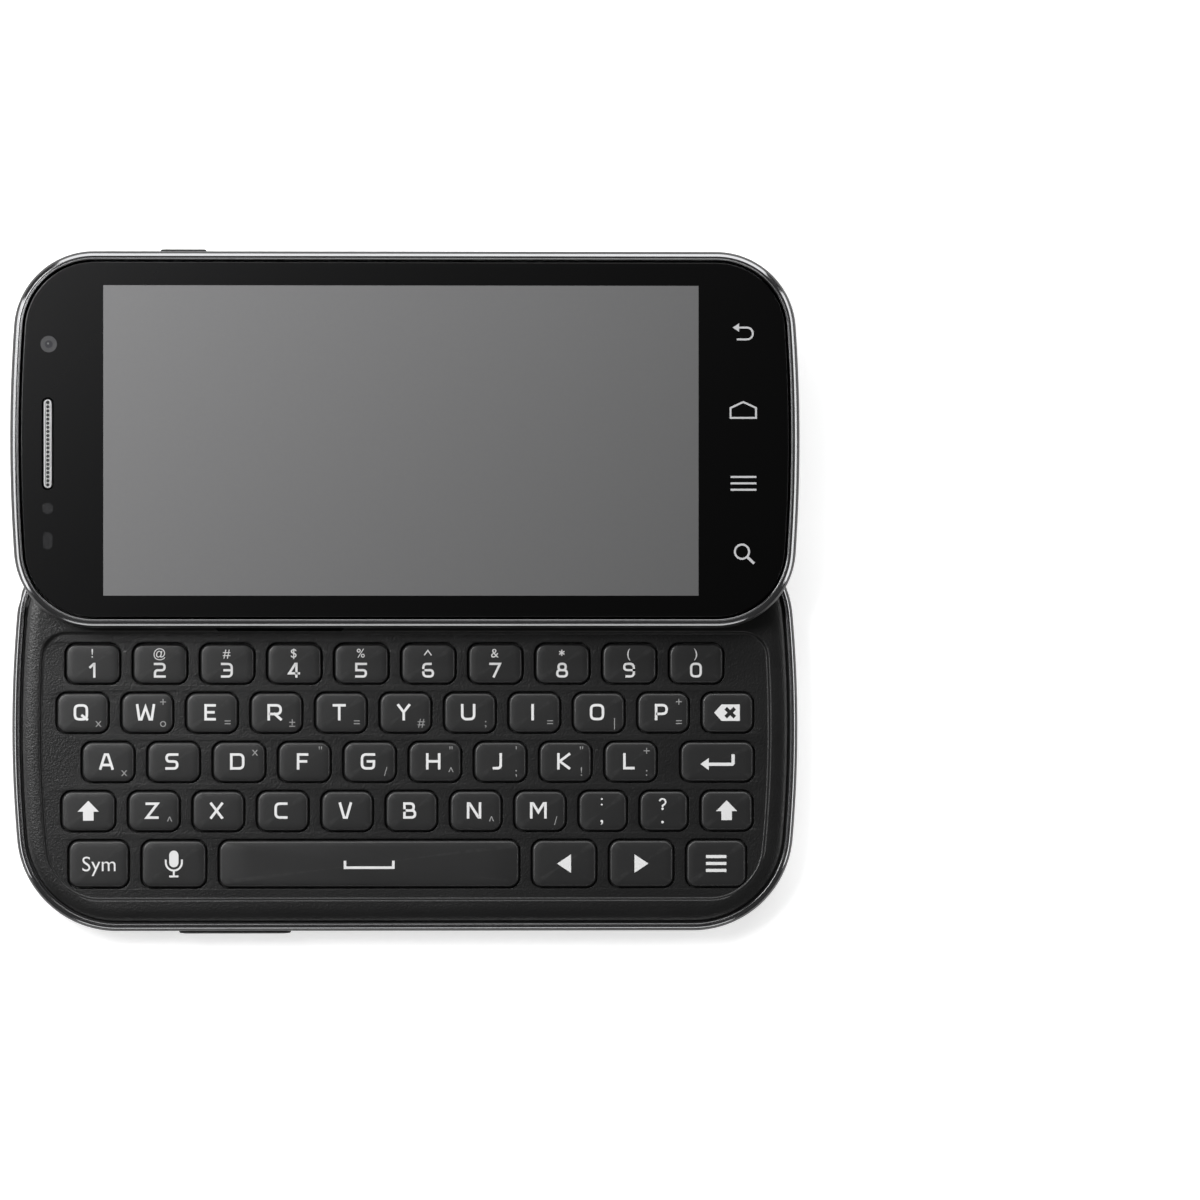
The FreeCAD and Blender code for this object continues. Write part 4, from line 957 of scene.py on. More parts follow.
# Signs written with the font: text, place from the key's middle, height, added weight
WRITTEN_SIGNS = {"sym": [("Sym", 0.05, -1.15, 2.5, -0.004)],
                 "semicolon": [(":", -0.15, 0.9, 1.9, 0.0), (",", -0.15, -1.85, 2.4, 0.0)],
                 "question": [(".", -0.2, 0.2, 2.0, 0.012), (".", -0.2, -1.95, 2.1, 0.012)]}

# Filled signs about a key's middle: an outline, and its holes
CROSS = [(0.45 + 0.95 * x, 0.95 * y) for x, y in (
    (-1, -0.52), (-0.46, 0), (-1, 0.52), (-0.56, 1), (0, 0.44), (0.56, 1), (1, 0.52), (0.46, 0),
    (1, -0.52), (0.56, -1), (0, -0.44), (-0.56, -1))]
BACKSPACE = [(-2.15, 0.0), (-0.95, 1.33), (2.0, 1.33), (2.0, -1.33), (-0.95, -1.33)]
ENTER = [(2.85, 1.2), (2.85, -0.35), (2.55, -0.67), (-1.35, -0.67), (-1.35, -1.35),
         (-2.7, -0.37), (-1.35, 0.6), (-1.35, -0.15), (2.28, -0.15), (2.32, -0.1), (2.32, 1.2)]
SHIFT = [(0, 1.7), (1.72, -0.05), (0.85, -0.05), (0.85, -1.5), (-0.85, -1.5), (-0.85, -0.05),
         (-1.72, -0.05)]
ARROW = [(-1.15, 0), (1.1, 1.5), (1.1, -1.5)]
MICROPHONE = places(rounded_rectangle(0, 0.82, 1.5, 2.7, 0.75, 5))


def bars(width, thickness, pitch):
    return [rectangle(-width / 2, width / 2, y - thickness / 2, y + thickness / 2)
            for y in (pitch, 0, -pitch)]


FILLED_SIGNS = {"backspace": [[BACKSPACE, CROSS]], "enter": [[ENTER]], "shift_left": [[SHIFT]],
                "shift_right": [[SHIFT]], "left": [[ARROW]], "right": [[[(-x, y) for x, y in ARROW]]],
                "menu": [[bar] for bar in bars(3.3, 0.5, 1.12)], "mic": [[MICROPHONE]]}
# Signs of lines about a key's middle: points and weight
LINE_SIGNS = {
    "space": [([(-3.9, 0.5), (-3.9, -0.62), (3.9, -0.62), (3.9, 0.5)], 0.42)],
    "mic": [([(-1.3, 0.72)] + curve(0, 0.25, 1.3, 180, 360) + [(1.3, 0.72)], 0.3),
            ([(0, -1.0), (0, -1.95)], 0.3), ([(-0.75, -2.0), (0.75, -2.0)], 0.3)],
    "question": [(curve(-0.2, 1.45, 0.5, 165, -50, 10) + [(-0.2, 0.86), (-0.2, 0.6)], 0.26)],
    "^": [([(-0.68, 1.35), (-0.1, 2.15), (0.48, 1.35)], 0.19)],
    "*": [([(-0.1, 1.25), (-0.1, 2.25)], 0.19), ([(-0.53, 1.5), (0.33, 2.0)], 0.19),
          ([(-0.53, 2.0), (0.33, 1.5)], 0.19)]}


def write(shape, text, x, y, z, height, weight, finish=0):
    """Adds text as a thin raised sign, centred on x, its lower edge at y."""
    data = bpy.data.curves.new("text", "FONT")
    data.body = text
    data.extrude = 0.02
    data.offset = weight
    data.resolution_u = 4
    holder = link("text", data)
    mesh = applied(holder)
    bpy.data.objects.remove(holder)
    scale = height / CAPITAL_HEIGHT
    across = [vertex.co.x for vertex in mesh.vertices]
    middle = (min(across) + max(across)) / 2
    for vertex in mesh.vertices:
        depth = 0.0 if vertex.co.z > 0 else SIGN_DEPTH
        vertex.co = (x + (vertex.co.x - middle) * scale, y + vertex.co.y * scale, z - depth)
    for face in mesh.polygons:
        face.material_index = finish
    shape.from_mesh(mesh)
    bpy.data.meshes.remove(mesh)


def draw(shape, letter, x, y, z, height):
    """Draws a letter or digit of even strokes, centred on x, its lower edge at y."""
    share = next((share for share, letters in GLYPH_WIDTHS if letter in letters), LETTER_WIDTH)
    weight = height * LETTER_STROKE
    dx, dy = (height * share - weight) / 8, (height - weight) / 8
    lines = []
    for part in GLYPHS[letter].split("|"):
        closed = part.endswith("*")
        corners = part.rstrip("*").split()
        line = [(("abcdefghi".index(corner[0].lower()) - 4) * dx,
                 weight / 2 + int(corner[1]) * dy) for corner in corners]
        line = rounded_line(line, [corner[0].isupper() for corner in corners],
                            height * LETTER_CORNER)
        if not closed:
            for end, inner in ((0, 1), (-1, -2)):
                tip = Vector(line[end])
                line[end] = tuple(tip + (tip - Vector(line[inner])).normalized() * weight / 2)
        lines.append((line, weight, closed))
    draw_lines(shape, lines, x, y, z)


def draw_lines(shape, lines, x, y, z):
    """Adds ribbons about a place, each line a little lower than the one before."""
    for points, weight, *closed in lines:
        ribbon(shape, moved(points, x, y), weight, z - SIGN_DEPTH, z, *closed)
        z -= LAYER


class PHONE_OT_key_legends(bpy.types.Operator):
    """Printed letters, digits and signs, each on its own key"""
    bl_idname = "phone.key_legends"
    bl_label = "Key Legends"

    def execute(self, context):
        finishes = [surface("legend print", colours().legend, 0.42, grain=0.08, bump=0.05,
                            spread=0.05),
                    surface("faint legend print", (0.26, 0.26, 0.26), 0.45, grain=0.08,
                            bump=0.05)]
        rise = size("key_crown") + SIGN_RISE
        height = size("letter_height")
        for node in KEY_NODES:
            x, y, width, *_, high = key_cells(node)[0]
            shape, name, z = bmesh.new(), node[4:], high + rise
            if len(name) == 1:
                draw(shape, name.upper(), x + LETTER_PLACE[0], y + LETTER_PLACE[1] - height / 2, z,
                     height)
                for sign, up in zip(SECOND_SIGNS.get(name, ""), SECOND_SIGN_UP):
                    if sign != " ":
                        write(shape, sign, x + width * SECOND_SIGN_SHARE, y + up, z - 0.01,
                              SMALL_SIGN_HEIGHT, -0.004, 1)
            for text, dx, dy, letter_height, weight in WRITTEN_SIGNS.get(name, []):
                write(shape, text, x + dx, y + dy, z, letter_height, weight)
            for loops in FILLED_SIGNS.get(name, []):
                tile(shape, [moved(loop, x, y) for loop in loops], z - SIGN_DEPTH, z)
            draw_lines(shape, LINE_SIGNS.get(name, []), x, y, z)
            piece("legend_" + name, shape, finishes, node, crease=30)
        row = bmesh.new()
        for digit, sign, cell in zip(DIGITS, DIGIT_SIGNS, key_cells("number_keys")):
            x, y, *_, high = cell
            draw(row, digit, x + DIGIT_PLACE[0], y + DIGIT_PLACE[1], high + rise,
                 size("digit_height"))
            draw_lines(row, LINE_SIGNS.get(sign, []), x, y, high + rise)
            if sign not in LINE_SIGNS:
                write(row, sign, x + DIGIT_SIGN_PLACE[0], y + DIGIT_SIGN_PLACE[1], high + rise,
                      SMALL_SIGN_HEIGHT, 0.0)
        piece("legends_numbers", row, finishes, "number_keys", crease=30)
        return {"FINISHED"}


# Back and side of the keyboard half ------------------------------------------------------

COVER_INSET, COVER_RUN, COVER_EDGE_Z, COVER_THICKNESS = 1.75, 5.6, 2.3, 0.9
SPEAKER_SLOTS = [(48.2, 15.3), (50.8, 15.3)]
SPEAKER_WIDTH, SPEAKER_LENGTH = 1.56, 8.4
CAMERA, FLASH = (-45.6, 0.0), (-45.1, -12.85)
RING_SIZE, RING_CORNER, RING_WIDTH, RING_FRONT, RING_BACK = 13.2, 4.4, 1.1, 0.05, 1.15
FLASH_SIZE, FLASH_CORNER, TRIM_PLAY = 4.9, 1.3, 0.12
CAMERA_WINDOW, CAMERA_WINDOW_CORNER, CAMERA_WINDOW_Z = 10.9, 3.3, (0.32, 0.88)
LENS_RADIUS, PUPIL_RADIUS = 2.3, 0.8


class PHONE_OT_back_cover(bpy.types.Operator):
    """Back cover with its rounded shoulder and woven back, and the speaker's mesh behind it"""
    bl_idname = "phone.back_cover"
    bl_label = "Back Cover"

    def execute(self, context):
        shape = bmesh.new()
        outside = shoulder(COVER_INSET, COVER_RUN, COVER_EDGE_Z, COVER_EDGE_Z)
        inside = shoulder(COVER_INSET + COVER_THICKNESS, COVER_RUN - COVER_THICKNESS,
                          COVER_EDGE_Z, COVER_EDGE_Z - COVER_THICKNESS)[::-1]
        inner_flat, outer_flat = wall(shape, bowed_outline(BASE), inside + outside)
        ring, flash = RING_SIZE + 2 * TRIM_PLAY, FLASH_SIZE + 2 * TRIM_PLAY
        holes = [rounded_rectangle(*CAMERA, ring, ring, RING_CORNER + TRIM_PLAY, 12),
                 rounded_rectangle(*FLASH, flash, flash, FLASH_CORNER + TRIM_PLAY)]
        holes += [rounded_rectangle(*slot, SPEAKER_WIDTH, SPEAKER_LENGTH, SPEAKER_WIDTH / 2)
                  for slot in SPEAKER_SLOTS]
        edge = softened([(0.5, 0.0, 0), (0, 0.0, 0.16), (0, COVER_THICKNESS, 0)], 4)[1:]
        ends = [(outer_flat, inner_flat)] + [wall(shape, hole(path), edge) for path in holes]
        for side in zip(*ends):
            fill(shape, side)
        beyond = BASE_HIGH.x + 1.5
        woven = surface("woven cover", colours().cover, 0.40, grain=0.12, bump=0.55, change=0.08,
                        weave=size("weave_pitch"), specular=0.3)
        piece("woven_back_cover", shape, [woven], "keyboard_half", ["back_cover"],
              cutters=[end_opening(beyond - 10, beyond, CHARGING_SOCKET)], flat_faces=True)
        steel = metal("speaker mesh steel", (0.10, 0.10, 0.10), 0.4)
        for index, (x, y) in enumerate(SPEAKER_SLOTS):
            perforated("speaker_mesh_%d" % (index + 1), "keyboard_half", 5, 25, 0.36,
                       0.12, (x, y, 0.55), steel)
        return {"FINISHED"}


class PHONE_OT_camera_trim(bpy.types.Operator):
    """Rear camera's chrome ring, window and lens, and the flash beside it"""
    bl_idname = "phone.camera_trim"
    bl_label = "Camera Trim"

    def execute(self, context):
        shape = bmesh.new()
        path = rounded_rectangle(*CAMERA, RING_SIZE, RING_SIZE, RING_CORNER, 14)
        flat = RING_WIDTH - 0.1
        section = [(0, RING_BACK, 0), (0, RING_FRONT, 0.42), (flat, RING_FRONT, 0.42),
                   (flat, 0.5, 0), (RING_WIDTH, RING_BACK, 0)]
        wall(shape, path, softened(section, 5), closed=True)
        chrome = surface("ring chrome", colours().chrome, 0.26, grain=0.1, bump=0.015,
                         change=0.04, spread=0.05, metallic=0.75)
        piece("camera_chrome_ring", shape, [chrome], "keyboard_half",
              ["camera_ring"])
        self.window()
        self.flash()
        return {"FINISHED"}

    def window(self):
        shape = bmesh.new()
        barrel = disc(*CAMERA, LENS_RADIUS)
        pane = rounded_rectangle(*CAMERA, CAMERA_WINDOW, CAMERA_WINDOW, CAMERA_WINDOW_CORNER, 12)
        plate(shape, pane, [hole(barrel)], *CAMERA_WINDOW_Z, 0.06)
        wall(shape, barrel, [(0.0, 0.5), (0.05, 0.42), (0.2, 0.40), (1.2, 0.52), (1.25, 0.6),
                             (1.5, 0.62)], finish=1)
        lens = [(0.0, 0.62), (0.2, 0.57), (0.5, 0.53)]
        for end in wall(shape, disc(*CAMERA, PUPIL_RADIUS), lens, finish=2):
            fill(shape, [end], 2)
        fill(shape, [wall(shape, barrel, [(0.0, 0.5), (0.0, 0.86)], finish=1)[1]], 1)
        # the window's and lens's colours carry a painted sheen that fades down and to the right
        finishes = [sheen_painted_glass("camera window glass", (0.004, 0.004, 0.004), 0.1, 0.004),
                    surface("lens barrel", (0.05, 0.05, 0.052), 0.3, coat=0.6),
                    sheen_painted_glass("lens glass", (0.006, 0.006, 0.009), 0.1, 0.004)]
        piece("camera_window", shape, finishes, "keyboard_half", ["rear_camera"],
              flat_faces=True)

    def flash(self):
        shape = bmesh.new()
        profile = softened([(0, 0.9, 0), (0, 0.06, 0.2), (0.5, 0.06, 0.1), (1.0, 0.3, 0)])
        path = rounded_rectangle(*FLASH, FLASH_SIZE, FLASH_SIZE, FLASH_CORNER)
        for end in wall(shape, path, profile):
            fill(shape, [end])
        plate(shape, rounded_rectangle(*FLASH, 1.9, 1.9, 0.2, 2), [], 0.16, 0.35, 0.04, 1)
        finishes = [surface("flash diffuser", (0.62, 0.62, 0.60), 0.25, grain=0.4, bump=0.3,
                            coat=0.8),
                    surface("flash chip", (0.85, 0.70, 0.30), 0.4, bump=0.2)]
        piece("flash_lens", shape, finishes, "keyboard_half")


def long_button(width, height, radius, depth, crown, notch, turn, place):
    """Round-ended bar with a dip in its crown's middle, stood up on a side by a turn about X."""
    shape = bmesh.new()
    path = rounded_rectangle(0, 0, width, height, radius)
    profile = softened([(0, 0, 0), (0, depth, 0.35), (0.8, depth, 0)], 5)[:-1]
    low, high = wall(shape, path, profile)
    middle = rounded_rectangle(0, 0, width - 1.6, height - 1.4, radius)
    inner = [shape.verts.new((x, y, depth + crown - notch * math.exp(-(x / 1.6) ** 2)))
             for x, y in places(middle)]
    bridge(shape, high, inner)
    for end in (low, inner):
        fill(shape, [end])
    matrix = Matrix.Translation(place) @ Matrix.Rotation(turn, 4, "X")
    bmesh.ops.transform(shape, matrix=matrix, verts=shape.verts)
    return shape


class PHONE_OT_volume_rocker(bpy.types.Operator):
    """Volume rocker in the keyboard half's lower long side"""
    bl_idname = "phone.volume_rocker"
    bl_label = "Volume Rocker"

    def execute(self, context):
        front = limits("volume_rocker")[0].y
        shape = long_button(ROCKER_WIDTH, ROCKER_HEIGHT, 0.9, 2.3, 0.08, 0.12, QUARTER,
                            (ROCKER_X, front + 2.38, ROCKER_Z))
        piece("rocker_bar", shape, [button_finish()], "volume_rocker",
              ["volume_rocker"])
        return {"FINISHED"}


# Display half ----------------------------------------------------------------------------

POWER_X, POWER_Z = -35.7, 10.65
POWER_WIDTH, POWER_HEIGHT, POWER_PLAY = 7.4, 1.4, 0.15
POST_X, POST_SLOT_WIDTH, POST_SLOT_LENGTH = 22, 3.0, 49.5
REAR_EDGE_GAP, REAR_THICKNESS, REAR_LIP_INSET, REAR_LIP_WIDTH = 0.3, 0.7, 1.95, 0.8
WINDOW_X, WINDOW_Y = (-48.5, 47.15), (-25.08, 24.77)
BACK_KEY, HOME_KEY = (54.4, 17.45), (54.36, 4.79)
MENU_KEY, SEARCH_KEY = (54.39, -7.0), (54.5, -18.4)
EAR_X, EAR_Y, EAR_WIDTH, EAR_LENGTH, EAR_GAP = -57.4, -0.7, 1.94, 14.9, 0.32
FRONT_CAMERA, FRONT_CAMERA_RADIUS = (-57.25, 15.3), 1.32
SENSOR_X, SENSOR_DISC_Y, SENSOR_DISC_RADIUS, SENSOR_BAR_Y = -57.4, -11.08, 0.87, -16.29

# Touch-key signs about their middle: lines and filled outlines
HOME = [(-2.05, -1.25), (2.05, -1.25), (2.05, 0.35), (0, 1.3), (-2.05, 0.35)]
BACK_HOOK = [(-1.0, 0.62)] + curve(0.55, -0.33, 0.95, 90, -90) + [(-1.1, -1.28)]
BACK_HEAD = [(-1.75, 0.62), (-0.72, 1.3), (-0.72, -0.06)]
SEARCH_RING = curve(-0.35, 0.4, 1.15, 0, 345, 23)
SEARCH_HANDLE = [(0.46, -0.41), (1.6, -1.5)]


class PHONE_OT_display_bezel(bpy.types.Operator):
    """Polished ring round the display, opened for the power button"""
    bl_idname = "phone.display_bezel"
    bl_label = "Display Bezel"

    def execute(self, context):
        low, high = BEZEL_LOW.z, BEZEL_HIGH.z
        width = size("bezel_width") - RIM_PLAY
        shape = bmesh.new()
        section = softened([(width, low, 0.1), (0.0, low, 0.5)] + crest(width, high)
                           + [(width, high - 1.5, 0)], 5)
        wall(shape, bowed_outline(DISPLAY), section, closed=True)
        reach_x, reach_z = POWER_WIDTH / 2 + POWER_PLAY, POWER_HEIGHT / 2 + POWER_PLAY
        opening = rectangle(POWER_X - reach_x, POWER_X + reach_x, POWER_Z - reach_z,
                            POWER_Z + reach_z)
        cutter = prism(opening, (BEZEL_HIGH.y - 3, BEZEL_HIGH.y + 2), 1)
        rim = piece("bezel_ring", shape, rim_finishes(), "display_half",
                    ["display_bezel"], cutters=[cutter])
        # the bezel below its crest takes the darker side colour: painted shade of the side wall
        paint_side_shade_below(rim, high - CREST_DEPTH)
        return {"FINISHED"}


class PHONE_OT_power_button(bpy.types.Operator):
    """Power button in the display half's upper long side"""
    bl_idname = "phone.power_button"
    bl_label = "Power Button"

    def execute(self, context):
        front = limits("power_button")[1].y
        shape = long_button(POWER_WIDTH, POWER_HEIGHT, 0.45, 1.6, 0.03, 0.0, -QUARTER,
                            (POWER_X, front - 1.64, POWER_Z))
        piece("power_bar", shape, [button_finish()], "power_button",
              ["power_button"])
        return {"FINISHED"}


class PHONE_OT_display_rear(bpy.types.Operator):
    """Rear plate of the display half, with the two slots that the slide's posts run in"""
    bl_idname = "phone.display_rear"
    bl_label = "Display Rear"

    def execute(self, context):
        shape = bmesh.new()
        low, high = limits("display_rear_cover")
        slots = [hole(rounded_rectangle(x, DISPLAY_Y, POST_SLOT_WIDTH, POST_SLOT_LENGTH,
                                        POST_SLOT_WIDTH / 2)) for x in (-POST_X, POST_X)]
        outline = bowed_outline(DISPLAY)
        gap = REAR_EDGE_GAP
        edge = [(x - gap * nx, y - gap * ny, nx, ny) for x, y, nx, ny in outline]
        plate(shape, edge, slots, low.z, low.z + REAR_THICKNESS, 0.15)
        outside, inside = REAR_LIP_INSET, REAR_LIP_INSET + REAR_LIP_WIDTH
        foot = low.z + REAR_THICKNESS - 0.02
        wall(shape, outline, [(outside, foot), (outside, high.z), (inside, high.z),
                              (inside, foot)], closed=True)
        plastic = surface("rear plate plastic", (0.022, 0.022, 0.023), 0.42, bump=0.2)
        piece("display_back_plate", shape, [plastic], "display_half",
              ["display_rear_cover"], flat_faces=True)
        return {"FINISHED"}


class PHONE_OT_screen_glass(bpy.types.Operator):
    """Screen glass with its window, touch keys, front camera and sensors"""
    bl_idname = "phone.screen_glass"
    bl_label = "Screen Glass"

    def execute(self, context):
        shape = bmesh.new()
        low, high = [corner.z for corner in limits("screen_glass")]
        inset = size("bezel_width") + 0.2
        side = softened([(inset + 0.5, low, 0), (inset, low, 0.1), (inset, high, 0.12),
                         (inset + 1, high, 0)])[1:-1]
        outer_low, outer_high = wall(shape, bowed_outline(DISPLAY), side)
        slot = rounded_rectangle(EAR_X, EAR_Y + DISPLAY_Y, EAR_WIDTH, EAR_LENGTH, EAR_WIDTH / 2)
        slot_high, slot_low = wall(shape, hole(slot), [(0.03, high), (0.0, high - 0.03),
                                                       (0.0, low)])
        window = [shape.verts.new((x, y + DISPLAY_Y, high))
                  for x, y in rectangle(*WINDOW_X, *WINDOW_Y)]
        fill(shape, [outer_high, slot_high, window])
        fill(shape, [window], 1)
        fill(shape, [outer_low, slot_low])
        # both glass colours carry a painted sheen that fades down and to the right
        finishes = [sheen_painted_glass("screen border glass", colours().glass, 0.05, 0.0185),
                    sheen_painted_glass("screen window glass", colours().window, 0.035, 0.0045)]
        piece("glass_front", shape, finishes, "display_half", ["screen_glass"],
              flat_faces=True)
        self.signs()
        self.sensors()
        return {"FINISHED"}

    def signs(self):
        shape = bmesh.new()
        low, high = GLASS_TOP - 0.03, GLASS_TOP + 0.008
        for points, weight, closed, x, y in (
                (BACK_HOOK, 0.3, False, *BACK_KEY), (HOME, 0.3, True, *HOME_KEY),
                (SEARCH_RING, 0.32, True, *SEARCH_KEY),
                (SEARCH_HANDLE, 0.42, False, *SEARCH_KEY)):
            ribbon(shape, moved(points, x, y + DISPLAY_Y), weight, low, high, closed)
            high -= LAYER / 2
        menu = [(bar, *MENU_KEY) for bar in bars(4.15, 0.32, 1.03)]
        for points, x, y in [(BACK_HEAD, *BACK_KEY)] + menu:
            tile(shape, [moved(points, x, y + DISPLAY_Y)], low, high)
        ink = surface("touch key print", (0.50, 0.50, 0.51), 0.2, coat=0.4)
        piece("touch_key_signs", shape, [ink], "display_half", crease=30)

    def sensors(self):
        shape = bmesh.new()
        low, high = GLASS_TOP - 0.03, GLASS_TOP + 0.006
        x, y = FRONT_CAMERA[0], FRONT_CAMERA[1] + DISPLAY_Y
        for path, rise, finish in (
                (disc(x, y, FRONT_CAMERA_RADIUS), 0.0, 0),
                (disc(x, y, 0.62), 0.004, 2),
                (disc(x - 0.1, y + 0.1, 0.17, 20), 0.007, 3),
                (disc(SENSOR_X, DISPLAY_Y + SENSOR_DISC_Y, SENSOR_DISC_RADIUS), 0.0, 1),
                (rounded_rectangle(SENSOR_X, DISPLAY_Y + SENSOR_BAR_Y, 1.52, 2.7, 0.75), 0.0, 1)):
            plate(shape, path, [], low, high + rise, 0.004, finish)
        finishes = [surface("camera disc", (0.062, 0.062, 0.065), 0.2, coat=0.5),
                    surface("sensor disc", (0.016, 0.016, 0.017), 0.2, coat=0.5),
                    surface("front lens", (0.045, 0.045, 0.05), 0.12, coat=0.8),
                    surface("lens glint", (0.14, 0.14, 0.14), 0.2)]
        piece("front_camera_and_sensors", shape, finishes, "display_half",
              crease=10)


class PHONE_OT_earpiece(bpy.types.Operator):
    """Earpiece: a polished slot frame with one row of holes down its middle"""
    bl_idname = "phone.earpiece"
    bl_label = "Earpiece"

    def execute(self, context):
        shape = bmesh.new()
        x, y = EAR_X, EAR_Y + DISPLAY_Y
        width, height = EAR_WIDTH - 2 * EAR_GAP, EAR_LENGTH - 2 * EAR_GAP
        low, high = GLASS_TOP - 0.9, GLASS_TOP - 0.06
        profile = softened([(0.0, low, 0), (0.0, high, 0.08), (0.26, high, 0.05),
                            (0.28, high - 0.1, 0.04), (0.28, low, 0)])
        wall(shape, rounded_rectangle(x, y, width, height, width / 2, 10), profile, closed=True)
        frame_metal = surface("earpiece metal", (0.40, 0.40, 0.405), 0.45, grain=0.12, bump=0.05,
                              spread=0.06, metallic=0.6)
        piece("earpiece_frame", shape, [frame_metal], "display_half",
              ["earpiece"])
        steel = metal("earpiece mesh steel", (0.40, 0.40, 0.40), 0.4)
        perforated("earpiece_grille", "display_half", 1, 21, 0.66, 0.28,
                   (x, y, GLASS_TOP - 0.3), steel)
        backing = bmesh.new()
        plate(backing, rounded_rectangle(x, y, width - 0.8, height - 0.8, 0.3, 6), [],
              GLASS_TOP - 0.75, GLASS_TOP - 0.6, 0.02)
        dark = surface("dark recess plastic", (0.006, 0.006, 0.006), 0.5, grain=0.1)
        piece("earpiece_backing", backing, [dark], "display_half")
        return {"FINISHED"}


# Inner pieces and stage ------------------------------------------------------------------

class PHONE_OT_inner_finishes(bpy.types.Operator):
    """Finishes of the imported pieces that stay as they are"""
    bl_idname = "phone.inner_finishes"
    bl_label = "Inner Finishes"

    def execute(self, context):
        steel = metal("brushed steel", (0.42, 0.42, 0.43), 0.32)
        wire = metal("spring wire", (0.5, 0.5, 0.52), 0.22)
        finishes = {
            "slide_carriage": steel, "slide_rails": steel, "base_screws": steel,
            "slide_spring_left": wire, "slide_spring_right": wire,
            "key_mat": surface("mat rubber", (0.004, 0.004, 0.004), 0.7, grain=0.3, bump=0.3),
            "keypad_board": surface("board green", (0.012, 0.05, 0.03), 0.35, coat=0.4),
            "main_board": metal("socket metal", (0.22, 0.22, 0.225), 0.35),
            "battery": surface("battery wrap", (0.06, 0.06, 0.065), 0.4, grain=0.3, bump=0.15),
            "lcd_panel": surface("panel frame", (0.04, 0.04, 0.045), 0.25, coat=0.5)}
        for node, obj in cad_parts.items():
            if obj.hide_render:
                continue
            if node not in finishes:
                raise RuntimeError("no finish for the packed piece " + node)
            for slot in obj.material_slots:
                slot.material = finishes[node]
        return {"FINISHED"}


FLOOR_REACH, FLOOR_Z = 2.5, -0.00005
STAGE_MIDDLE = (0.0, 0.02, 0.0)
VIEW_Y, VIEW_HEIGHT, VIEW_LENS = 0.02057, 1.142, 210.55
VIEW_AIM = 0.03138, 1.132        # how far the view leans to +X, over this drop

# Lamps: name, place, aim, size and power
LAMPS = (("key_lamp", (0.1, 1.0, 0.78), STAGE_MIDDLE, (1.4, 0.45), 10.5),
         ("near_lamp", (-0.22, 0.15, 0.45), (-0.02, 0.02, 0.0), (0.18, 0.18), 1.5),
         ("left_lamp", (-0.95, 0.0, 0.73), STAGE_MIDDLE, (1.0, 0.16), 3.0),
         ("right_lamp", (0.95, 0.1, 0.73), STAGE_MIDDLE, (1.0, 0.16), 2.8),
         ("front_lamp", (0.0, -0.95, 0.73), STAGE_MIDDLE, (1.0, 0.14), 1.6))


def lamp(name, place, aim, spread, power):
    data = bpy.data.lights.new(name, "AREA")
    data.shape = "RECTANGLE"
    data.size, data.size_y = spread
    data.energy = power
    obj = link(name, data)
    obj.location = place
    obj.rotation_euler = (Vector(aim) - Vector(place)).to_track_quat("-Z", "Y").to_euler()


def floor_finish():
    """Pale floor that shows white to the camera and in reflections, and keeps shadows."""
    material, tree, place, shader = start_finish("pale floor", specular=0.2)
    grains = effect(tree, grain_group(), {"Place": place, "Patch Size": 90.0})
    tree.links.new(tinted(tree, (0.85, 0.85, 0.85), grains["Patches"], 0.01),
                   shader.inputs["Base Color"])
    shader.inputs["Roughness"].default_value = 0.7
    rays = add(tree, "ShaderNodeLightPath").outputs
    seen = Wire(rays["Is Camera Ray"])
    for kind in ("Is Glossy Ray", "Is Transmission Ray"):
        seen = calc("MAXIMUM", seen, Wire(rays[kind]))
    tree.links.new((seen * 0.56).socket, shader.inputs["Emission Strength"])
    shader.inputs["Emission Color"].default_value = (1.0, 1.0, 1.0, 1.0)
    return material


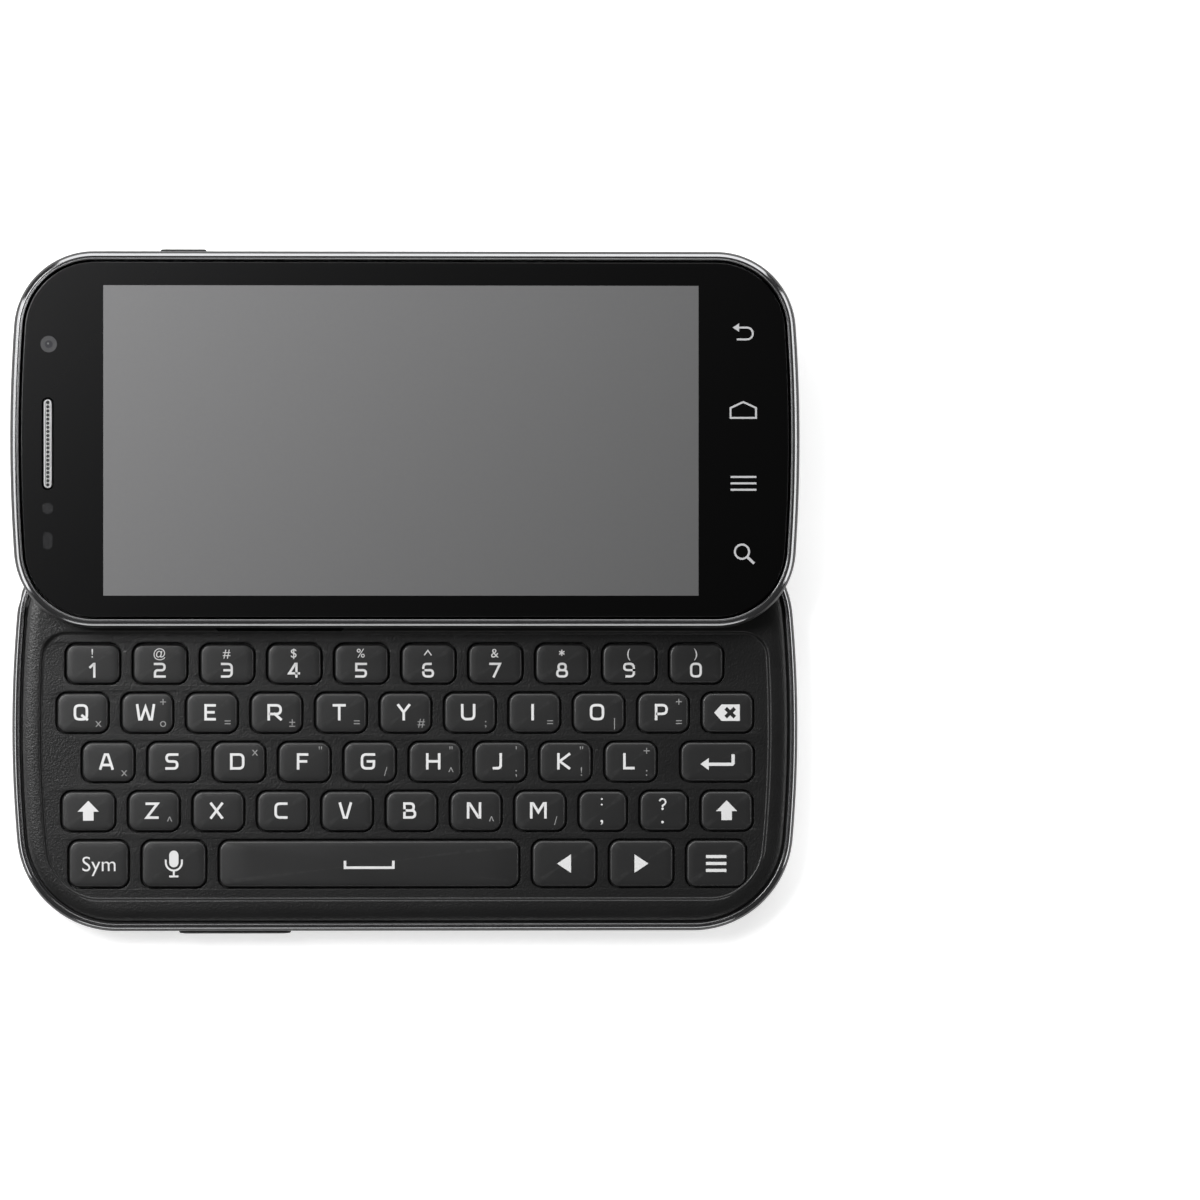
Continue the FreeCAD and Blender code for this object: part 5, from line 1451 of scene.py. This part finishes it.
class PHONE_OT_stage(bpy.types.Operator):
    """Floor, soft studio lamps, world and camera"""
    bl_idname = "phone.stage"
    bl_label = "Stage"

    def execute(self, context):
        mesh = bpy.data.meshes.new("floor")
        corners = rectangle(-FLOOR_REACH, FLOOR_REACH, -FLOOR_REACH, FLOOR_REACH)
        mesh.from_pydata([(x, y, FLOOR_Z) for x, y in corners], [], [(0, 1, 2, 3)])
        mesh.materials.append(floor_finish())
        link("floor", mesh)
        for settings in LAMPS:
            lamp(*settings)
        world = bpy.data.worlds.new("studio")
        context.scene.world = world
        world.use_nodes = True
        backdrop = world.node_tree.nodes["Background"]
        backdrop.inputs["Color"].default_value = (1.0, 1.0, 1.0, 1.0)
        backdrop.inputs["Strength"].default_value = 0.05
        self.camera(context)
        context.scene.view_settings.view_transform = "Standard"
        return {"FINISHED"}

    def camera(self, context):
        data = bpy.data.cameras.new("camera")
        data.sensor_width = 36.0
        data.lens = VIEW_LENS
        data.clip_start = 0.05
        data.clip_end = 20.0
        obj = link("camera", data)
        obj.location = (0.0, VIEW_Y, VIEW_HEIGHT)
        obj.rotation_euler = (0.0, -math.atan2(*VIEW_AIM), 0.0)
        context.scene.camera = obj


OPERATORS = (
    PHONE_OT_keyboard_rim, PHONE_OT_keyboard_deck, PHONE_OT_keycaps, PHONE_OT_key_legends,
    PHONE_OT_back_cover, PHONE_OT_camera_trim, PHONE_OT_volume_rocker, PHONE_OT_display_bezel,
    PHONE_OT_power_button, PHONE_OT_display_rear, PHONE_OT_screen_glass, PHONE_OT_earpiece,
    PHONE_OT_inner_finishes, PHONE_OT_stage)


class PHONE_PT_panel(bpy.types.Panel):
    """Sidebar panel with the phone's pieces, sizes and colours"""
    bl_idname = "PHONE_PT_panel"
    bl_label = "Slider Phone"
    bl_space_type = "VIEW_3D"
    bl_region_type = "UI"
    bl_category = "Slider Phone"

    def draw(self, context):
        for operator in OPERATORS:
            self.layout.operator(operator.bl_idname)
        for group in (context.scene.phone_sizes, context.scene.phone_colours):
            for name in group.__annotations__:
                self.layout.prop(group, name)


CLASSES = (PhoneSizes, PhoneColours) + OPERATORS + (PHONE_PT_panel,)


def register():
    for cls in CLASSES:
        bpy.utils.register_class(cls)
    bpy.types.Scene.phone_sizes = PointerProperty(type=PhoneSizes)
    bpy.types.Scene.phone_colours = PointerProperty(type=PhoneColours)


def unregister():
    del bpy.types.Scene.phone_colours
    del bpy.types.Scene.phone_sizes
    for cls in reversed(CLASSES):
        bpy.utils.unregister_class(cls)


def main():
    register()
    for operator in OPERATORS:
        group, name = operator.bl_idname.split(".")
        getattr(getattr(bpy.ops, group), name)()


if __name__ == "__main__":
    main()
